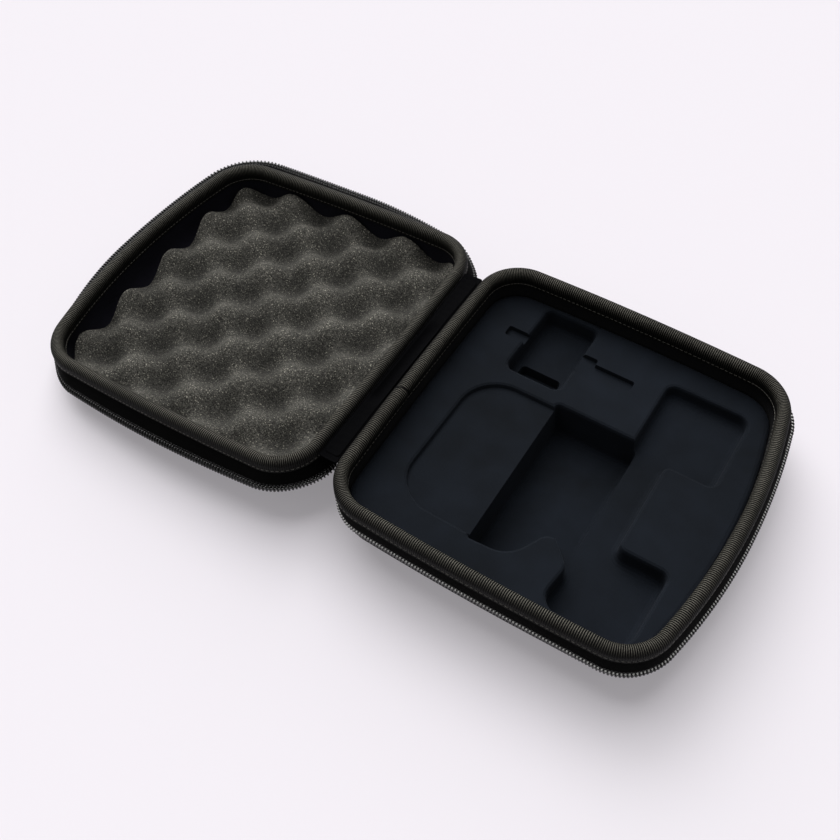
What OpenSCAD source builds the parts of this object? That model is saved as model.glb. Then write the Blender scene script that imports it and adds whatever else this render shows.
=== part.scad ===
// Hard zip case for a fishing reel, laid open flat: a deep base half with a
// moulded tray, a shallower lid half with a wave-cut foam pad, and between
// them a cloth spine with the parked ends of the zip.
// Millimetres, +Z up. The origin is the middle of the base half's underside,
// +X runs from the hinge to the base's opening side and +Y along the hinge.

/* [Outline of each half] */
// Width of each half, from its hinge side to its opening side
case_w = 210; // [200:1:260]
// Length of each half along the hinge
case_l = 210; // [204:1:260]
// Radius of the two corners at the hinge side
hinge_corner_r = 29; // [28:0.5:34]
// Radius of the two corners at the opening side
open_corner_r = 31; // [29:0.5:36]
// How far the hinge side bows out in its middle
hinge_bow = 1.5; // [0.6:0.1:2]
// How far the opening side bows out in its middle
open_bow = 15; // [6:0.5:18]
// How far the two end sides bow out in their middle
end_bow = 3; // [1:0.25:6]

/* [Shells] */
// Depth of the base half, rim to underside
base_h = 50; // [48:0.5:60]
// Depth of the lid half, rim to top face
lid_h = 35.5; // [34:0.5:44]
// Thickness of the moulded foam shell
shell_t = 3.5; // [2.5:0.1:4]
// Thickness of the lining cloth
lining_t = 0.6; // [0.4:0.1:0.8]
// Lean of the walls, in degrees
wall_draft = 7; // [4:0.5:8]
// Outer radius between wall and underside of the base half
base_round = 22; // [16:0.5:22]
// Outer radius between wall and top face of the lid half
lid_round = 18; // [14:0.5:20]
// Space left for glue between bonded layers
glue_gap = 0.1; // [0.05:0.01:0.15]

/* [Edge binding] */
// Thickness of the binding's two legs
bind_wall = 1.8; // [1.5:0.1:2.2]
// Thickness of the binding over the shell's edge
bind_crown = 3; // [2.6:0.1:3.4]
// Height of the binding's outer leg
bind_outer_h = 8; // [7:0.25:9]
// Height of the binding's inner leg
bind_inner_h = 10; // [8:0.25:10.5]

/* [Zip] */
// Thickness of the zip tape
tape_t = 0.7; // [0.5:0.1:0.9]
// Distance from the tape's sewn edge to the middle of its coil
tape_reach = 12.3; // [10:0.1:14]
// Radius of one nylon coil
coil_r = 1.05; // [0.8:0.05:1.2]
// Distance from the middle of the hinge side to where the open tapes end
tape_end_y = 67; // [64:0.5:72]
// Length of the parked stretch of zip at each end of the spine
zip_end_l = 26; // [25:0.5:30]

/* [Spine] */
// Gap between the two halves when they lie open
hinge_gap = 11; // [10.6:0.1:12.4]
// Gap between the two rims when the case is shut
shut_gap = 0.4; // [0.2:0.1:0.8]
// Thickness of the spine's outer webbing
spine_t = 0.7; // [0.5:0.1:0.9]
// Thickness of the spine's inner cloth
spine_cloth_t = 0.3; // [0.2:0.1:0.5]
// Length of the spine along the hinge
spine_l = 156; // [140:1:160]

/* [Moulded tray] */
// Depth of the tray's top face below the rim
tray_drop = 18; // [16:0.5:19]
// Thickness of the tray's moulded sheet
tray_t = 2; // [1.6:0.1:2.4]
// Space between the tray's skirt and the lining
tray_gap = 0.35; // [0.3:0.05:0.8]
// Radius of the tray's rolled border
tray_roll = 3.5; // [2.5:0.25:4]
// Height of the tray's skirt
tray_skirt = 12; // [8:0.5:14]
// Lean of the pocket walls, in degrees
pocket_draft = 5; // [2:0.5:6]
// Depth of the shallow shelf for the reel's side plate
shelf_drop = 3; // [2:0.25:5]
// Depth of the deep pocket for the reel's body
body_drop = 25; // [20:0.5:25.3]
// Depth of the crank recess at its rear end
crank_rear_drop = 9; // [7:0.25:10]
// Depth of the crank recess at its front end
crank_front_drop = 13.5; // [11:0.25:14]
// Depth of the spool pocket
spool_drop = 13; // [10:0.5:14]
// Depth of the spool pocket's well
well_drop = 20; // [17:0.5:21]
// Depth of the slot for the reel's foot
foot_drop = 3; // [2:0.25:4]
// Width of the slot for the reel's foot
foot_w = 7.6; // [6:0.2:9]

/* [Tray layout from the hinge side] */
// Distance from the hinge side to the shelf
shelf_x = 30; // [27:0.5:34]
// Distance from the hinge side to the ridge over the deep pocket
ridge_x = 81; // [78:0.5:84]
// Width of the deep pocket
body_w = 53.7; // [50:0.1:56]
// Width of the step between the deep pocket and the platform
step_w = 18.3; // [16:0.1:20]
// Distance from the opening side to the crank recess
crank_margin = 27; // [26:0.5:29]
// Distance from the middle of the tray to the deep pocket's rear wall
body_rear_y = 30; // [26:0.5:31]
// Distance from the rear side to the crank recess
crank_rear_margin = 27; // [25:0.5:29]
// Distance from the front side to the crank recess
crank_front_margin = 16.5; // [16:0.5:20]
// Distance from the front side to the deep pocket
body_front_margin = 31.5; // [29:0.5:34]

/* [Foam pad] */
// Distance between wave tops across the hinge
wave_x = 45.6; // [38:0.2:52]
// Distance between wave tops along the hinge
wave_y = 41.6; // [36:0.2:48]
// Height of the waves, top to trough
wave_h = 12.4; // [8:0.2:13]
// Depth of the waves' middle level below the lid's rim
wave_drop = 18.8; // [17:0.2:19.5]
// Rise of the pad's edges where they ride up the lid's rounded corner
foam_lift = 2.5; // [1.5:0.25:4]
// Distance from the opening side to the pad's straight cut edge
foam_margin = 20; // [18:0.5:24]

/* [Sliders and pulls] */
// Length of a slider
slider_l = 13; // [12:0.25:13.5]
// Thickness of a slider's plates
slider_plate_t = 1; // [0.9:0.05:1.1]
// Height of the bridge on a slider
bridge_h = 4.2; // [3.8:0.1:4.8]
// Radius of a pull's cross pin
pull_pin_r = 0.8; // [0.6:0.05:0.9]
// Length of a pull, pin to tip
pull_l = 28; // [24:0.5:32]
// Width of a pull's grip
grip_w = 8.4; // [7.6:0.2:9]

/* [Hidden] */

black_shell = "#17181b";
black_cloth = "#101114";
navy_cloth = "#1b1926";
velvet = "#1c2228";
bind_grey = "#3a3835";
foam_grey = "#45423d";
coil_black = "#1d1d1f";
nickel = "#8c8c90";
rubber = "#1e1e20";

// A small overlap for clean cuts
eps = 0.01;
// Pieces along one side and along one corner of a swept tape
side_steps = 14;
corner_steps = 10;

// Outline of a half, seen from above: x runs away from the hinge side, y along
// it. Eight arcs meet tangent to each other, so that every sweep round them is
// a true surface.
function round_to(v, step) = round(v / step) * step;
// Half angle of an arc that bows out by `bow` over a chord of twice `half`,
// taken at its corner. The joints between arcs stand at whole steps of this.
angle_step = 0.001;
function bow_radius(half, bow) = (half * half + bow * bow) / (2 * bow);
function side_angle(half, bow, corner_r) =
    let (r = bow_radius(half, bow)) round_to(asin((half - corner_r) / (r - corner_r)), angle_step);
hinge_a = side_angle(case_l / 2, hinge_bow, hinge_corner_r);
open_a = side_angle(case_l / 2, open_bow, open_corner_r);
end_a1 = side_angle(case_w / 2, end_bow, hinge_corner_r);
end_a2 = side_angle(case_w / 2, end_bow, open_corner_r);

// The corner centres and radii that make all eight arcs tangent at those
// angles, found by closing in on them: [hinge corner y, opening corner y, end
// side radius]
function corner_x1(y) = hinge_corner_r + y * (1 - cos(hinge_a)) / sin(hinge_a);
function corner_x2(y) = case_w - open_corner_r - y * (1 - cos(open_a)) / sin(open_a);
function close_in(y1, y2, n) =
    let (r = (corner_x2(y2) - corner_x1(y1) + open_corner_r * sin(end_a2)
            + hinge_corner_r * sin(end_a1)) / (sin(end_a1) + sin(end_a2)),
        z1 = case_l / 2 - r + (r - hinge_corner_r) * cos(end_a1),
        z2 = case_l / 2 - r + (r - open_corner_r) * cos(end_a2))
    n == 0 ? [z1, z2, r] : close_in(z1, z2, n - 1);
closed = close_in(case_l / 2 - hinge_corner_r, case_l / 2 - open_corner_r, 8);
hinge_corner_c = [corner_x1(closed[0]), -closed[0]];
open_corner_c = [corner_x2(closed[1]), -closed[1]];
hinge_r = hinge_corner_r + closed[0] / sin(hinge_a);
open_r = open_corner_r + closed[1] / sin(open_a);
end_r = closed[2];
front_c = [hinge_corner_c.x + (end_r - hinge_corner_r) * sin(end_a1), end_r - case_l / 2];
function flip_y(p) = [p.x, -p.y];

// Each arc: centre, radius, quarter turn, start and end angle from that turn
ARCS = [
    [[hinge_r, 0], hinge_r, 180, -hinge_a, hinge_a],
    [hinge_corner_c, hinge_corner_r, 180, hinge_a, 90 - end_a1],
    [front_c, end_r, 270, -end_a1, end_a2],
    [open_corner_c, open_corner_r, 270, end_a2, 90 - open_a],
    [[case_w - open_r, 0], open_r, 0, -open_a, open_a],
    [flip_y(open_corner_c), open_corner_r, 0, open_a, 90 - end_a2],
    [flip_y(front_c), end_r, 90, -end_a2, end_a1],
    [flip_y(hinge_corner_c), hinge_corner_r, 90, end_a1, 90 - hinge_a]];

function arc_point(arc, a, t) = arc[0] + (arc[1] + t) * [cos(arc[2] + a), sin(arc[2] + a)];
function outline(t, n) = [for (arc = ARCS, k = [0:n - 1])
    arc_point(arc, arc[3] + (arc[4] - arc[3]) * k / n, t)];

// A move in two steps, whole hundredths first, so that no digit is lost
module move(v) {
    whole = [for (x = v) round_to(x, 0.01)];
    translate(whole)
        translate(v - whole)
            children();
}
// Sweeps a section round the outline: its x is the distance outside it, y is up
module sweep() {
    for (arc = ARCS)
        move([arc[0].x, arc[0].y, 0])
            rotate([0, 0, arc[2]])
                rotate_extrude(angle = arc[4] - arc[3], start = arc[3], $fn = arc[1] > 100 ? 720 : 96)
                    move([arc[1], 0, 0])
                        children();
}

// Closed solid between loops of points, the lowest loop first
module loft(loops) {
    n = len(loops[0]);
    m = len(loops);
    polyhedron(
        points = [for (l = loops, p = l) p],
        faces = concat(
            [for (i = [0:m - 2], j = [0:n - 1])
                [i * n + j, (i + 1) * n + j, (i + 1) * n + (j + 1) % n]],
            [for (i = [0:m - 2], j = [0:n - 1])
                [i * n + j, (i + 1) * n + (j + 1) % n, i * n + (j + 1) % n]],
            [[for (j = [0:n - 1]) j]],
            [[for (j = [n - 1:-1:0]) (m - 1) * n + j]]),
        convexity = 10);
}

// Closed solid along rings of points, which run counter-clockwise seen along it
module tube(rings) {
    n = len(rings[0]);
    m = len(rings);
    polyhedron(
        points = [for (r = rings, p = r) p],
        faces = concat(
            [for (i = [0:m - 2], j = [0:n - 1])
                [i * n + j, i * n + (j + 1) % n, (i + 1) * n + (j + 1) % n]],
            [for (i = [0:m - 2], j = [0:n - 1])
                [i * n + j, (i + 1) * n + (j + 1) % n, (i + 1) * n + j]],
            [[for (j = [n - 1:-1:0]) j]],
            [[for (j = [0:n - 1]) (m - 1) * n + j]]),
        convexity = 10);
}

// Shells and linings. A wall stands straight inside the binding, leans in
// below it and turns through a round into the flat bottom.
bind_w = 2 * bind_wall + shell_t + lining_t + 3 * glue_gap;
wall_x = -bind_wall - glue_gap;
straight_h = bind_inner_h + 1;
lining_x = wall_x - shell_t - glue_gap;
// Least radius left inside a shell's round at the plan's tightest corner
least_inside = 7;
base_r = min(base_round, hinge_corner_r - least_inside);
lid_r = min(lid_round, hinge_corner_r - least_inside);
// A distance that reaches past every wall section
beyond = 60;

// Middle of the round of a wall whose outer face is at x, in a half of depth h
function round_s(h, r) = (h - straight_h - r + r * sin(wall_draft)) / cos(wall_draft);
function round_c(x, h, r) =
    [x - round_s(h, r) * sin(wall_draft) - r * cos(wall_draft), r - h];

// Everything inside a wall face at x, in a half of depth h with a round of r
module wall_region(x, h, r, top) {
    c = round_c(x, h, r);
    s = round_s(h, r);
    foot = [x - s * sin(wall_draft), -straight_h - s * cos(wall_draft)];
    polygon([[x, top], [x, -straight_h], foot, c, [c.x, -h], [-beyond, -h], [-beyond, top]]);
    translate(c)
        circle(r, $fn = 96);
}

// Section of a wall of thickness t
module wall_section(x, h, r, t) {
    c = round_c(x, h, r);
    top = -bind_crown - glue_gap;
    difference() {
        intersection() {
            wall_region(x, h, r, top);
            translate([c.x - 2, -h])
                square([beyond, h]);
        }
        wall_region(x - t, h - t, r - t, 1);
    }
}

module bowl(x, h, r, t) {
    c = round_c(x, h, r);
    sweep()
        wall_section(x, h, r, t);
    translate([0, 0, -h])
        linear_extrude(t)
            polygon(outline(c.x - 1, 12));
}

// Binding: a half-round crown with one leg each side of the shell's edge
module binding() {
    r = bind_w / 2;
    sweep()
        difference() {
            union() {
                translate([-r, -r])
                    circle(r, $fn = 96);
                translate([-bind_wall, -bind_outer_h])
                    square([bind_wall, bind_outer_h - r]);
                translate([-bind_w, -bind_inner_h])
                    square([bind_wall, bind_inner_h - r]);
            }
            translate([bind_wall - bind_w, -bind_inner_h - 1])
                square([bind_w - 2 * bind_wall, bind_inner_h + 1 - bind_crown]);
        }
}

// Zip tapes and coils. A station on the outline is its arc, its angle and a key
// that counts from 0 at the front end of the tape to 8 at its rear end, with
// whole numbers at the middle of each corner and side.
end_a = asin(tape_end_y / hinge_r);
function stations_on(arc, a1, a2, n, k1, k2) =
    [for (i = [0:n - 1]) [arc, a1 + (a2 - a1) * i / n, k1 + (k2 - k1) * i / n]];
STATIONS = concat(
    stations_on(ARCS[0], end_a, ARCS[0][4], 4, 0, 0.5),
    [for (i = [1:7]) each stations_on(ARCS[i], ARCS[i][3], ARCS[i][4],
        i % 2 == 1 ? corner_steps : side_steps, i - 0.5, i + 0.5)],
    stations_on(ARCS[0], -hinge_a, -end_a, 4, 7.5, 8),
    [[ARCS[0], -end_a, 8]]);

// Angle of the open tape below level at each whole key
BASE_FLARE = [62, 94, 91, 82, 75, 60, 78, 84, 62];
LID_FLARE = [50, 78, 57, 80, 18, 5, 12, 66, 50];
// Gap left between the tape's edge and its coil
coil_gap = 0.15;
// Tape left between its sewn edge and its coil where it meets the spine
end_reach = 3.6;
// Sewn edge of the tape, under the outer leg of the binding
tape_inset = 0.2;
tape_gap = 0.25;
tape_root = [-bind_wall / 2 - tape_inset, -bind_outer_h - tape_gap - tape_t / 2];

function ease(f) = (1 - cos(180 * f)) / 2;
function flare_at(flare, k) =
    let (i = min(floor(k), 7), f = ease(k - i)) flare[i] * (1 - f) + flare[i + 1] * f;
function reach_at(k) =
    let (f = min(k, 8 - k) / 0.5)
    f >= 1 ? tape_reach : end_reach + (tape_reach - end_reach) * ease(f);
function place_at(st, t, z) =
    let (p = arc_point(st[0], st[1], t)) [p.x, p.y, z];
// Point of a station at a distance s along the tape and q off its face
function tape_point(st, flare, s, q) =
    let (a = flare_at(flare, st[2]))
    place_at(st, tape_root.x + s * cos(a) + q * sin(a), tape_root.y - s * sin(a) + q * cos(a));

module zip_tape(flare) {
    h = tape_t / 2;
    tube([for (st = STATIONS)
        let (s = reach_at(st[2]) - coil_r - coil_gap)
        [tape_point(st, flare, 0, -h), tape_point(st, flare, s, -h),
            tape_point(st, flare, s, h), tape_point(st, flare, 0, h)]]);
}

module zip_coil(flare) {
    tube([for (st = STATIONS)
        let (s = reach_at(st[2]))
        [for (a = [0:60:300])
            tape_point(st, flare, s + coil_r * cos(a), coil_r * sin(a))]]);
}

// Outlines with rounded corners. A corner is [x, y, radius], the outline runs
// counter-clockwise, and d draws it in.
least_r = 1.2;
// Outline points stand on a fine grid, so that flat faces come out truly flat
grid = 0.05;
function snap(p) = [for (v = p) round_to(v, grid)];
function unit(v) = v / norm(v);
function left(v) = [-v.y, v.x];
function corner_arc(p0, p1, p2, d, n) =
    let (e1 = unit([p1.x - p0.x, p1.y - p0.y]), e2 = unit([p2.x - p1.x, p2.y - p1.y]),
        n1 = left(e1), n2 = left(e2),
        turn = atan2(e1.x * e2.y - e1.y * e2.x, e1 * e2), way = sign(turn),
        r = max(p1.z - way * d, least_r),
        v = [p1.x, p1.y] + d * (n1 + n2) / (1 + n1 * n2),
        c = v - e1 * r * tan(abs(turn) / 2) + n1 * r * way)
    [for (k = [0:n])
        let (a = turn * k / n)
        snap(c - r * way * [n1.x * cos(a) - n1.y * sin(a), n1.x * sin(a) + n1.y * cos(a)])];
function rounded(corners, d, n) =
    let (m = len(corners))
    [for (i = [0:m - 1]) each corner_arc(corners[(i + m - 1) % m], corners[i],
        corners[(i + 1) % m], d, n)];

// A pocket's cutter from a shoulder, a leaning wall and a rounded floor. The
// floor drops by `drop` at y = 0 and by `slope` more for each millimetre of -y.
pocket_shoulder = 2.1;
pocket_foot = 3.5;
function foot_of(drop) = min(pocket_foot, 0.8 * (drop - pocket_shoulder));
function level(corners, d, f, n, drop, slope) =
    [for (p = rounded(corners, d, n)) [p.x, p.y, min(f, 1) * slope * p.y - f * drop]];
module pocket(corners, drop, slope = 0, n = 6) {
    s = pocket_shoulder;
    r = foot_of(drop);
    lean = (drop - s - r) * tan(pocket_draft);
    loft(concat(
        [for (a = [90, 60, 30, 0])
            level(corners, lean + r * (1 - cos(a)), (drop - r * (1 - sin(a))) / drop, n, drop, slope)],
        [for (q = [[0, 1], [-0.3, 0.3], [-1.1, -0.1], [-1.6, -1.6]])
            level(corners, q.x * s, q.y * s / drop, n, drop, slope)]));
}
// The same pocket's outer skin, one sheet thickness away
module pocket_skin(corners, drop, slope = 0, n = 6) {
    r = foot_of(drop);
    lean = (drop - r) * tan(pocket_draft);
    loft([
        level(corners, lean + 0.3 * r - tray_t, (drop + tray_t) / drop, n, drop, slope),
        level(corners, lean - tray_t, (drop + tray_t - 0.8 * r) / drop, n, drop, slope),
        level(corners, -tray_t, tray_t / 2 / drop, n, drop, slope)]);
}

// Tray layout, x from the hinge side
deep_x = ridge_x + body_w;
platform_x = deep_x + step_w;
crank_x = case_w - crank_margin;
crank_rear_y = case_l / 2 - crank_rear_margin;
crank_front_y = crank_front_margin - case_l / 2;
body_front_y = body_front_margin - case_l / 2;
crank_mid_drop = (crank_rear_drop + crank_front_drop) / 2;
crank_slope = round_to((crank_front_drop - crank_rear_drop) / (crank_rear_y - crank_front_y), 0.01);
crank_x0 = deep_x - 3.7;
// The platform between the crank's knob and arm reaches between these
platform_front_y = -38;
platform_rear_y = 24;
shelf_front_y = body_front_y + 2.5;
shelf_rear_y = body_rear_y - 3.5;
// The tip of the tray's tongue between the deep pocket and the crank recess
tongue_x = ridge_x + 40;
tongue_y = body_front_y + 23;

SHELF = [[shelf_x, shelf_front_y, 23], [ridge_x + 12, shelf_front_y - 1, 3],
    [ridge_x + 12, shelf_rear_y, 3], [shelf_x + 2, shelf_rear_y, 24]];
BODY = [[ridge_x, body_front_y - 0.5, 1.5], [ridge_x + 24, body_front_y + 1, 17.5],
    [tongue_x - 5, tongue_y - 0.5, 8], [deep_x, tongue_y + 4, 4], [deep_x, body_rear_y, 2.6],
    [ridge_x, body_rear_y, 2.4]];
CRANK = [[tongue_x - 8, tongue_y + 10, 3], [tongue_x + 14.5, tongue_y - 12, 8],
    [crank_x0 + 1, crank_front_y, 9], [crank_x, crank_front_y + 1, 10],
    [crank_x + 1, platform_front_y, 5], [platform_x, platform_front_y, 5],
    [platform_x, platform_rear_y, 4], [crank_x - 1, platform_rear_y, 5],
    [crank_x - 1, crank_rear_y, 7], [crank_x0, crank_rear_y, 6],
    [crank_x0, body_rear_y - 10, 3], [crank_x0 - 10, body_rear_y - 18, 3]];
// The spool's pocket, a deeper well for its flange, and the slots for its foot
spool_x = 41;
spool_w = 36;
spool_front_y = 38.5;
spool_rear_y = case_l / 2 - 13;
SPOOL = [[spool_x, spool_front_y, 5], [spool_x + spool_w, spool_front_y, 5],
    [spool_x + spool_w, spool_rear_y, 4], [spool_x + 1.5, spool_rear_y, 4]];
well_l = 11;
well_margin = 1.1;
well_r = 3;
foot_y = 64;
foot_reach = 13;
foot_far = 36;
foot_step = 10;
foot_lap = 3;
foot_r = 1.5;

// A rounded box for the plain recesses, cut from hulls of round posts
module rounded_box(x1, x2, y1, y2, z1, z2, r, lean) {
    hull()
        for (x = [x1 + r, x2 - r], y = [y1 + r, y2 - r])
            translate([x, y, z1])
                cylinder(h = z2 - z1, r1 = r - lean, r2 = r, $fn = 28);
}

// The deeper well in the spool pocket's floor
module spool_well(grow, z2) {
    inset = pocket_foot + well_margin;
    rounded_box(spool_x + inset - grow, spool_x + spool_w - inset + grow,
        spool_front_y + inset - grow, spool_front_y + inset + well_l + grow,
        -well_drop - grow, z2, well_r + grow, 0.8);
}

module foot_slots(grow, z1) {
    lean = 0.3;
    r = foot_r + grow;
    half = foot_w / 2 + grow;
    wide = foot_w + grow;
    x2 = spool_x + spool_w;
    rounded_box(spool_x - foot_reach - grow, spool_x + foot_lap + grow,
        foot_y - half, foot_y + half, z1, 1, r, lean);
    rounded_box(x2 - foot_lap - grow, x2 + foot_step + grow,
        foot_y - wide, foot_y + wide, z1, 1, r, lean);
    rounded_box(x2 + foot_step - foot_lap - grow, x2 + foot_far + grow,
        foot_y - half, foot_y + half, z1, 1, r, lean);
}

tray_edge = lining_x - lining_t - tray_gap - (tray_drop - straight_h) * tan(wall_draft);
function tray_level(t, z) = [for (p = outline(t, 7)) [each snap(p), z]];
// The tray's border: a flat top with a rolled edge and a skirt, open below
module tray_border() {
    fall = (tray_skirt - tray_roll) * tan(wall_draft);
    edge = tray_edge - tray_roll * tan(wall_draft);
    function roll(r, a) = tray_level(edge - tray_roll + r * cos(a), -tray_roll + r * sin(a));
    loft(concat(
        [for (a = [90:-30:0]) roll(tray_roll - tray_t, a)],
        [for (d = [tray_t, 0]) tray_level(edge - fall - d, -tray_skirt)],
        [for (a = [0:30:90]) roll(tray_roll, a)]));
}

module reel_tray_solid() {
    difference() {
        union() {
            tray_border();
            pocket_skin(SHELF, shelf_drop);
            pocket_skin(BODY, body_drop);
            pocket_skin(CRANK, crank_mid_drop, crank_slope);
            pocket_skin(SPOOL, spool_drop);
            spool_well(tray_t, -spool_drop - tray_t / 2);
            intersection() {
                foot_slots(tray_t, -foot_drop - tray_t);
                translate([0, -case_l / 2, -20])
                    cube([case_w, case_l, 20 - tray_t / 2]);
            }
        }
        pocket(SHELF, shelf_drop, n = 9);
        pocket(BODY, body_drop, n = 8);
        pocket(CRANK, crank_mid_drop, crank_slope);
        pocket(SPOOL, spool_drop);
        spool_well(0, 1 - spool_drop);
        foot_slots(0, -foot_drop);
    }
}

// Foam pad. Its waves are a product of two cosines, so tops and troughs stand
// in staggered rows, and its rim rises where it rides up the lid's round.
foam_x1 = -lining_x + lining_t + 3.6;
foam_x2 = case_w - foam_margin;
foam_half_l = case_l / 2 + lining_x - lining_t - end_bow - 2;
foam_corner = 20;
foam_nx = 32;
foam_ny = 26;
foam_lift_w = 16;
// Where the waves stand, measured from the lid's middle
foam_phase = [-3.5, 9];
// Share of the lid's round at which the pad's side turns in, and how far in
foam_turn = 0.42;
foam_turn_in = 0.8;
// How far in the pad's foot stands, as a share of that round
foam_foot_in = 0.8;
function foam_half(x) =
    let (e = min(x - foam_x1, foam_x2 - x), c = foam_corner - max(foam_corner - e, 0))
    foam_half_l - foam_corner + sqrt(foam_corner * foam_corner - pow(foam_corner - c, 2))
    + end_bow * (1 - pow((2 * x - case_w) / case_w, 2)) * 0.8;
// Grid lines crowd towards the ends, where the corners are round
function spread(f) = 0.55 * (1 - cos(180 * f)) / 2 + 0.45 * f;
function foam_x(i) = foam_x1 + (foam_x2 - foam_x1) * spread(i / foam_nx);
function foam_y(i, j) = foam_half(foam_x(i)) * (2 * spread(j / foam_ny) - 1);
function foam_edge(x, y) = max(min(x - foam_x1, foam_x2 - x, foam_half(x) - abs(y)), 0);
function foam_rise(x, y) = foam_lift * pow(max(1 - foam_edge(x, y) / foam_lift_w, 0), 2);
function foam_top(x, y) =
    foam_rise(x, y) - wave_drop
    + wave_h / 2 * cos(360 * (x - case_w / 2 - foam_phase.x) / wave_x)
        * cos(360 * (y - foam_phase.y) / wave_y);
foam_gap = 0.2;
foam_floor = lining_t + shell_t + 2 * glue_gap + foam_gap - lid_h;
function foam_rim(z, d) =
    let (q = function (i, j) let (x = foam_x(i), y = foam_y(i, j))
        [x + d * (foam_mid - x) / foam_mid, y * (1 - d / foam_half_l), z])
    concat(
        [for (i = [0:foam_nx - 1]) q(i, 0)],
        [for (j = [0:foam_ny - 1]) q(foam_nx, j)],
        [for (i = [foam_nx:-1:1]) q(i, foam_ny)],
        [for (j = [foam_ny:-1:1]) q(0, j)]);
foam_mid = (foam_x1 + foam_x2) / 2;

module foam_solid() {
    w = foam_ny + 1;
    rim_n = 2 * (foam_nx + foam_ny);
    top_n = (foam_nx + 1) * w;
    rim_index = concat(
        [for (i = [0:foam_nx - 1]) i * w],
        [for (j = [0:foam_ny - 1]) foam_nx * w + j],
        [for (i = [foam_nx:-1:1]) i * w + foam_ny],
        [for (j = [foam_ny:-1:1]) j]);
    polyhedron(
        points = concat(
            [for (i = [0:foam_nx], j = [0:foam_ny])
                let (x = foam_x(i), y = foam_y(i, j)) [x, y, foam_top(x, y)]],
            foam_rim(foam_floor + lid_r * foam_turn, foam_turn_in),
            foam_rim(foam_floor, lid_r * foam_foot_in),
            [[foam_mid, 0, foam_floor]]),
        faces = concat(
            [for (i = [0:foam_nx - 1], j = [0:foam_ny - 1])
                [i * w + j, i * w + j + 1, (i + 1) * w + j + 1]],
            [for (i = [0:foam_nx - 1], j = [0:foam_ny - 1])
                [i * w + j, (i + 1) * w + j + 1, (i + 1) * w + j]],
            [for (k = [0:rim_n - 1])
                [top_n + k, rim_index[k], rim_index[(k + 1) % rim_n]]],
            [for (k = [0:rim_n - 1])
                [top_n + k, rim_index[(k + 1) % rim_n], top_n + (k + 1) % rim_n]],
            [for (k = [0:rim_n - 1])
                [top_n + rim_n + k, top_n + k, top_n + (k + 1) % rim_n]],
            [for (k = [0:rim_n - 1])
                [top_n + rim_n + k, top_n + (k + 1) % rim_n, top_n + rim_n + (k + 1) % rim_n]],
            [for (k = [0:rim_n - 1])
                [top_n + 2 * rim_n, top_n + rim_n + k, top_n + rim_n + (k + 1) % rim_n]]),
        convexity = 10);
}

// Spine and hinge. The spine folds along two lines just outside the bindings,
// deep enough below the rims for them to meet when it stands upright.
cloth_gap = 0.35;
fold_gap = 0.15;
cloth_inset = 2;
fold_out = spine_t / 2 + glue_gap + spine_cloth_t + cloth_gap;
spine_w = hinge_gap - 2 * fold_out;
fold_drop = (spine_w - shut_gap) / 2;
fold_x = -case_w / 2 - fold_out;

// Slope at which the open lid's far round rests on the table
lid_round_c = round_c(wall_x, lid_h, lid_r);
lid_far = case_w + lid_round_c.x + fold_out;
lid_down = lid_h - lid_r - fold_drop;
lid_span = sqrt(lid_far * lid_far + lid_down * lid_down);
function slope_from(s) =
    asin((base_h - fold_drop - spine_w * sin(s / 2) - lid_r) / lid_span) - atan2(lid_down, lid_far);
lid_slope = slope_from(slope_from(slope_from(slope_from(0))));

module in_base() {
    translate([-case_w / 2, 0, base_h])
        children();
}
module in_spine() {
    translate([fold_x, 0, base_h - fold_drop])
        rotate([0, -lid_slope / 2, 0])
            children();
}
module in_lid() {
    in_spine()
        translate([-spine_w, 0, 0])
            rotate([0, -lid_slope / 2, 0])
                translate([-fold_out, 0, fold_drop])
                    mirror([1, 0, 0])
                        children();
}

// Parked zip ends under the spine, x from the base's fold line towards the lid
end_y0 = tape_end_y - 1 - zip_end_l;
strand_x = 2.4;
end_tape_z = -spine_t / 2 - 1.4;
strand_z = end_tape_z - tape_t - 0.05 - coil_r;
sewn_l = 4;
stop_l = 2;
end_gap = 0.3;
stop_y = end_y0 + sewn_l + end_gap;
slider_y = stop_y + stop_l + end_gap;

// One end, built at +y about the middle of the spine
module at_end(side) {
    in_spine()
        translate([-spine_w / 2, 0, 0])
            scale_y(side)
                children();
}
module scale_y(side) {
    if (side > 0)
        children();
    else
        mirror([0, 1, 0])
            children();
}

module zip_end(side) {
    w = spine_w / 2 - 0.2;
    color(black_cloth)
        at_end(side) {
            for (m = [0, 1])
                mirror([m, 0, 0]) {
                    translate([strand_x - 1, end_y0, end_tape_z - tape_t])
                        cube([w - strand_x + 1, zip_end_l, tape_t]);
                    translate([strand_x, end_y0, strand_z])
                        rotate([-90, 0, 0])
                            cylinder(h = zip_end_l, r = coil_r, $fn = 32);
                    translate([strand_x - 0.5, end_y0, strand_z])
                        cube([1, zip_end_l, end_tape_z - tape_t / 2 - strand_z]);
                }
            translate([-w, end_y0, strand_z - coil_r])
                cube([2 * w, sewn_l, -spine_t / 2 - 0.1 - strand_z + coil_r]);
        }
}

stop_t = 0.6;
module zip_stop(side) {
    w = strand_x + coil_r + 0.15;
    color(nickel)
        at_end(side)
            difference() {
                translate([-w - stop_t, stop_y, strand_z - coil_r - stop_t - 0.1])
                    cube([2 * (w + stop_t), stop_l, 2 * coil_r + stop_t]);
                translate([-w, stop_y - 1, strand_z - coil_r - 0.1])
                    cube([2 * w, stop_l + 2, 2 * coil_r + 2]);
            }
}

// Slider: two plates joined by a post between the strands, side walls that
// guide them, and a bridge that holds the pull
slider_gap = 0.25;
slider_wall = 0.7;
// A slider's side walls stop this far short of its length, at its rounded end
slider_nose = 4;
inner_plate_z = end_tape_z + slider_gap;
outer_plate_z = strand_z - coil_r - slider_gap;
bridge_w = 2.2;
bridge_top = 1.2;
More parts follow.
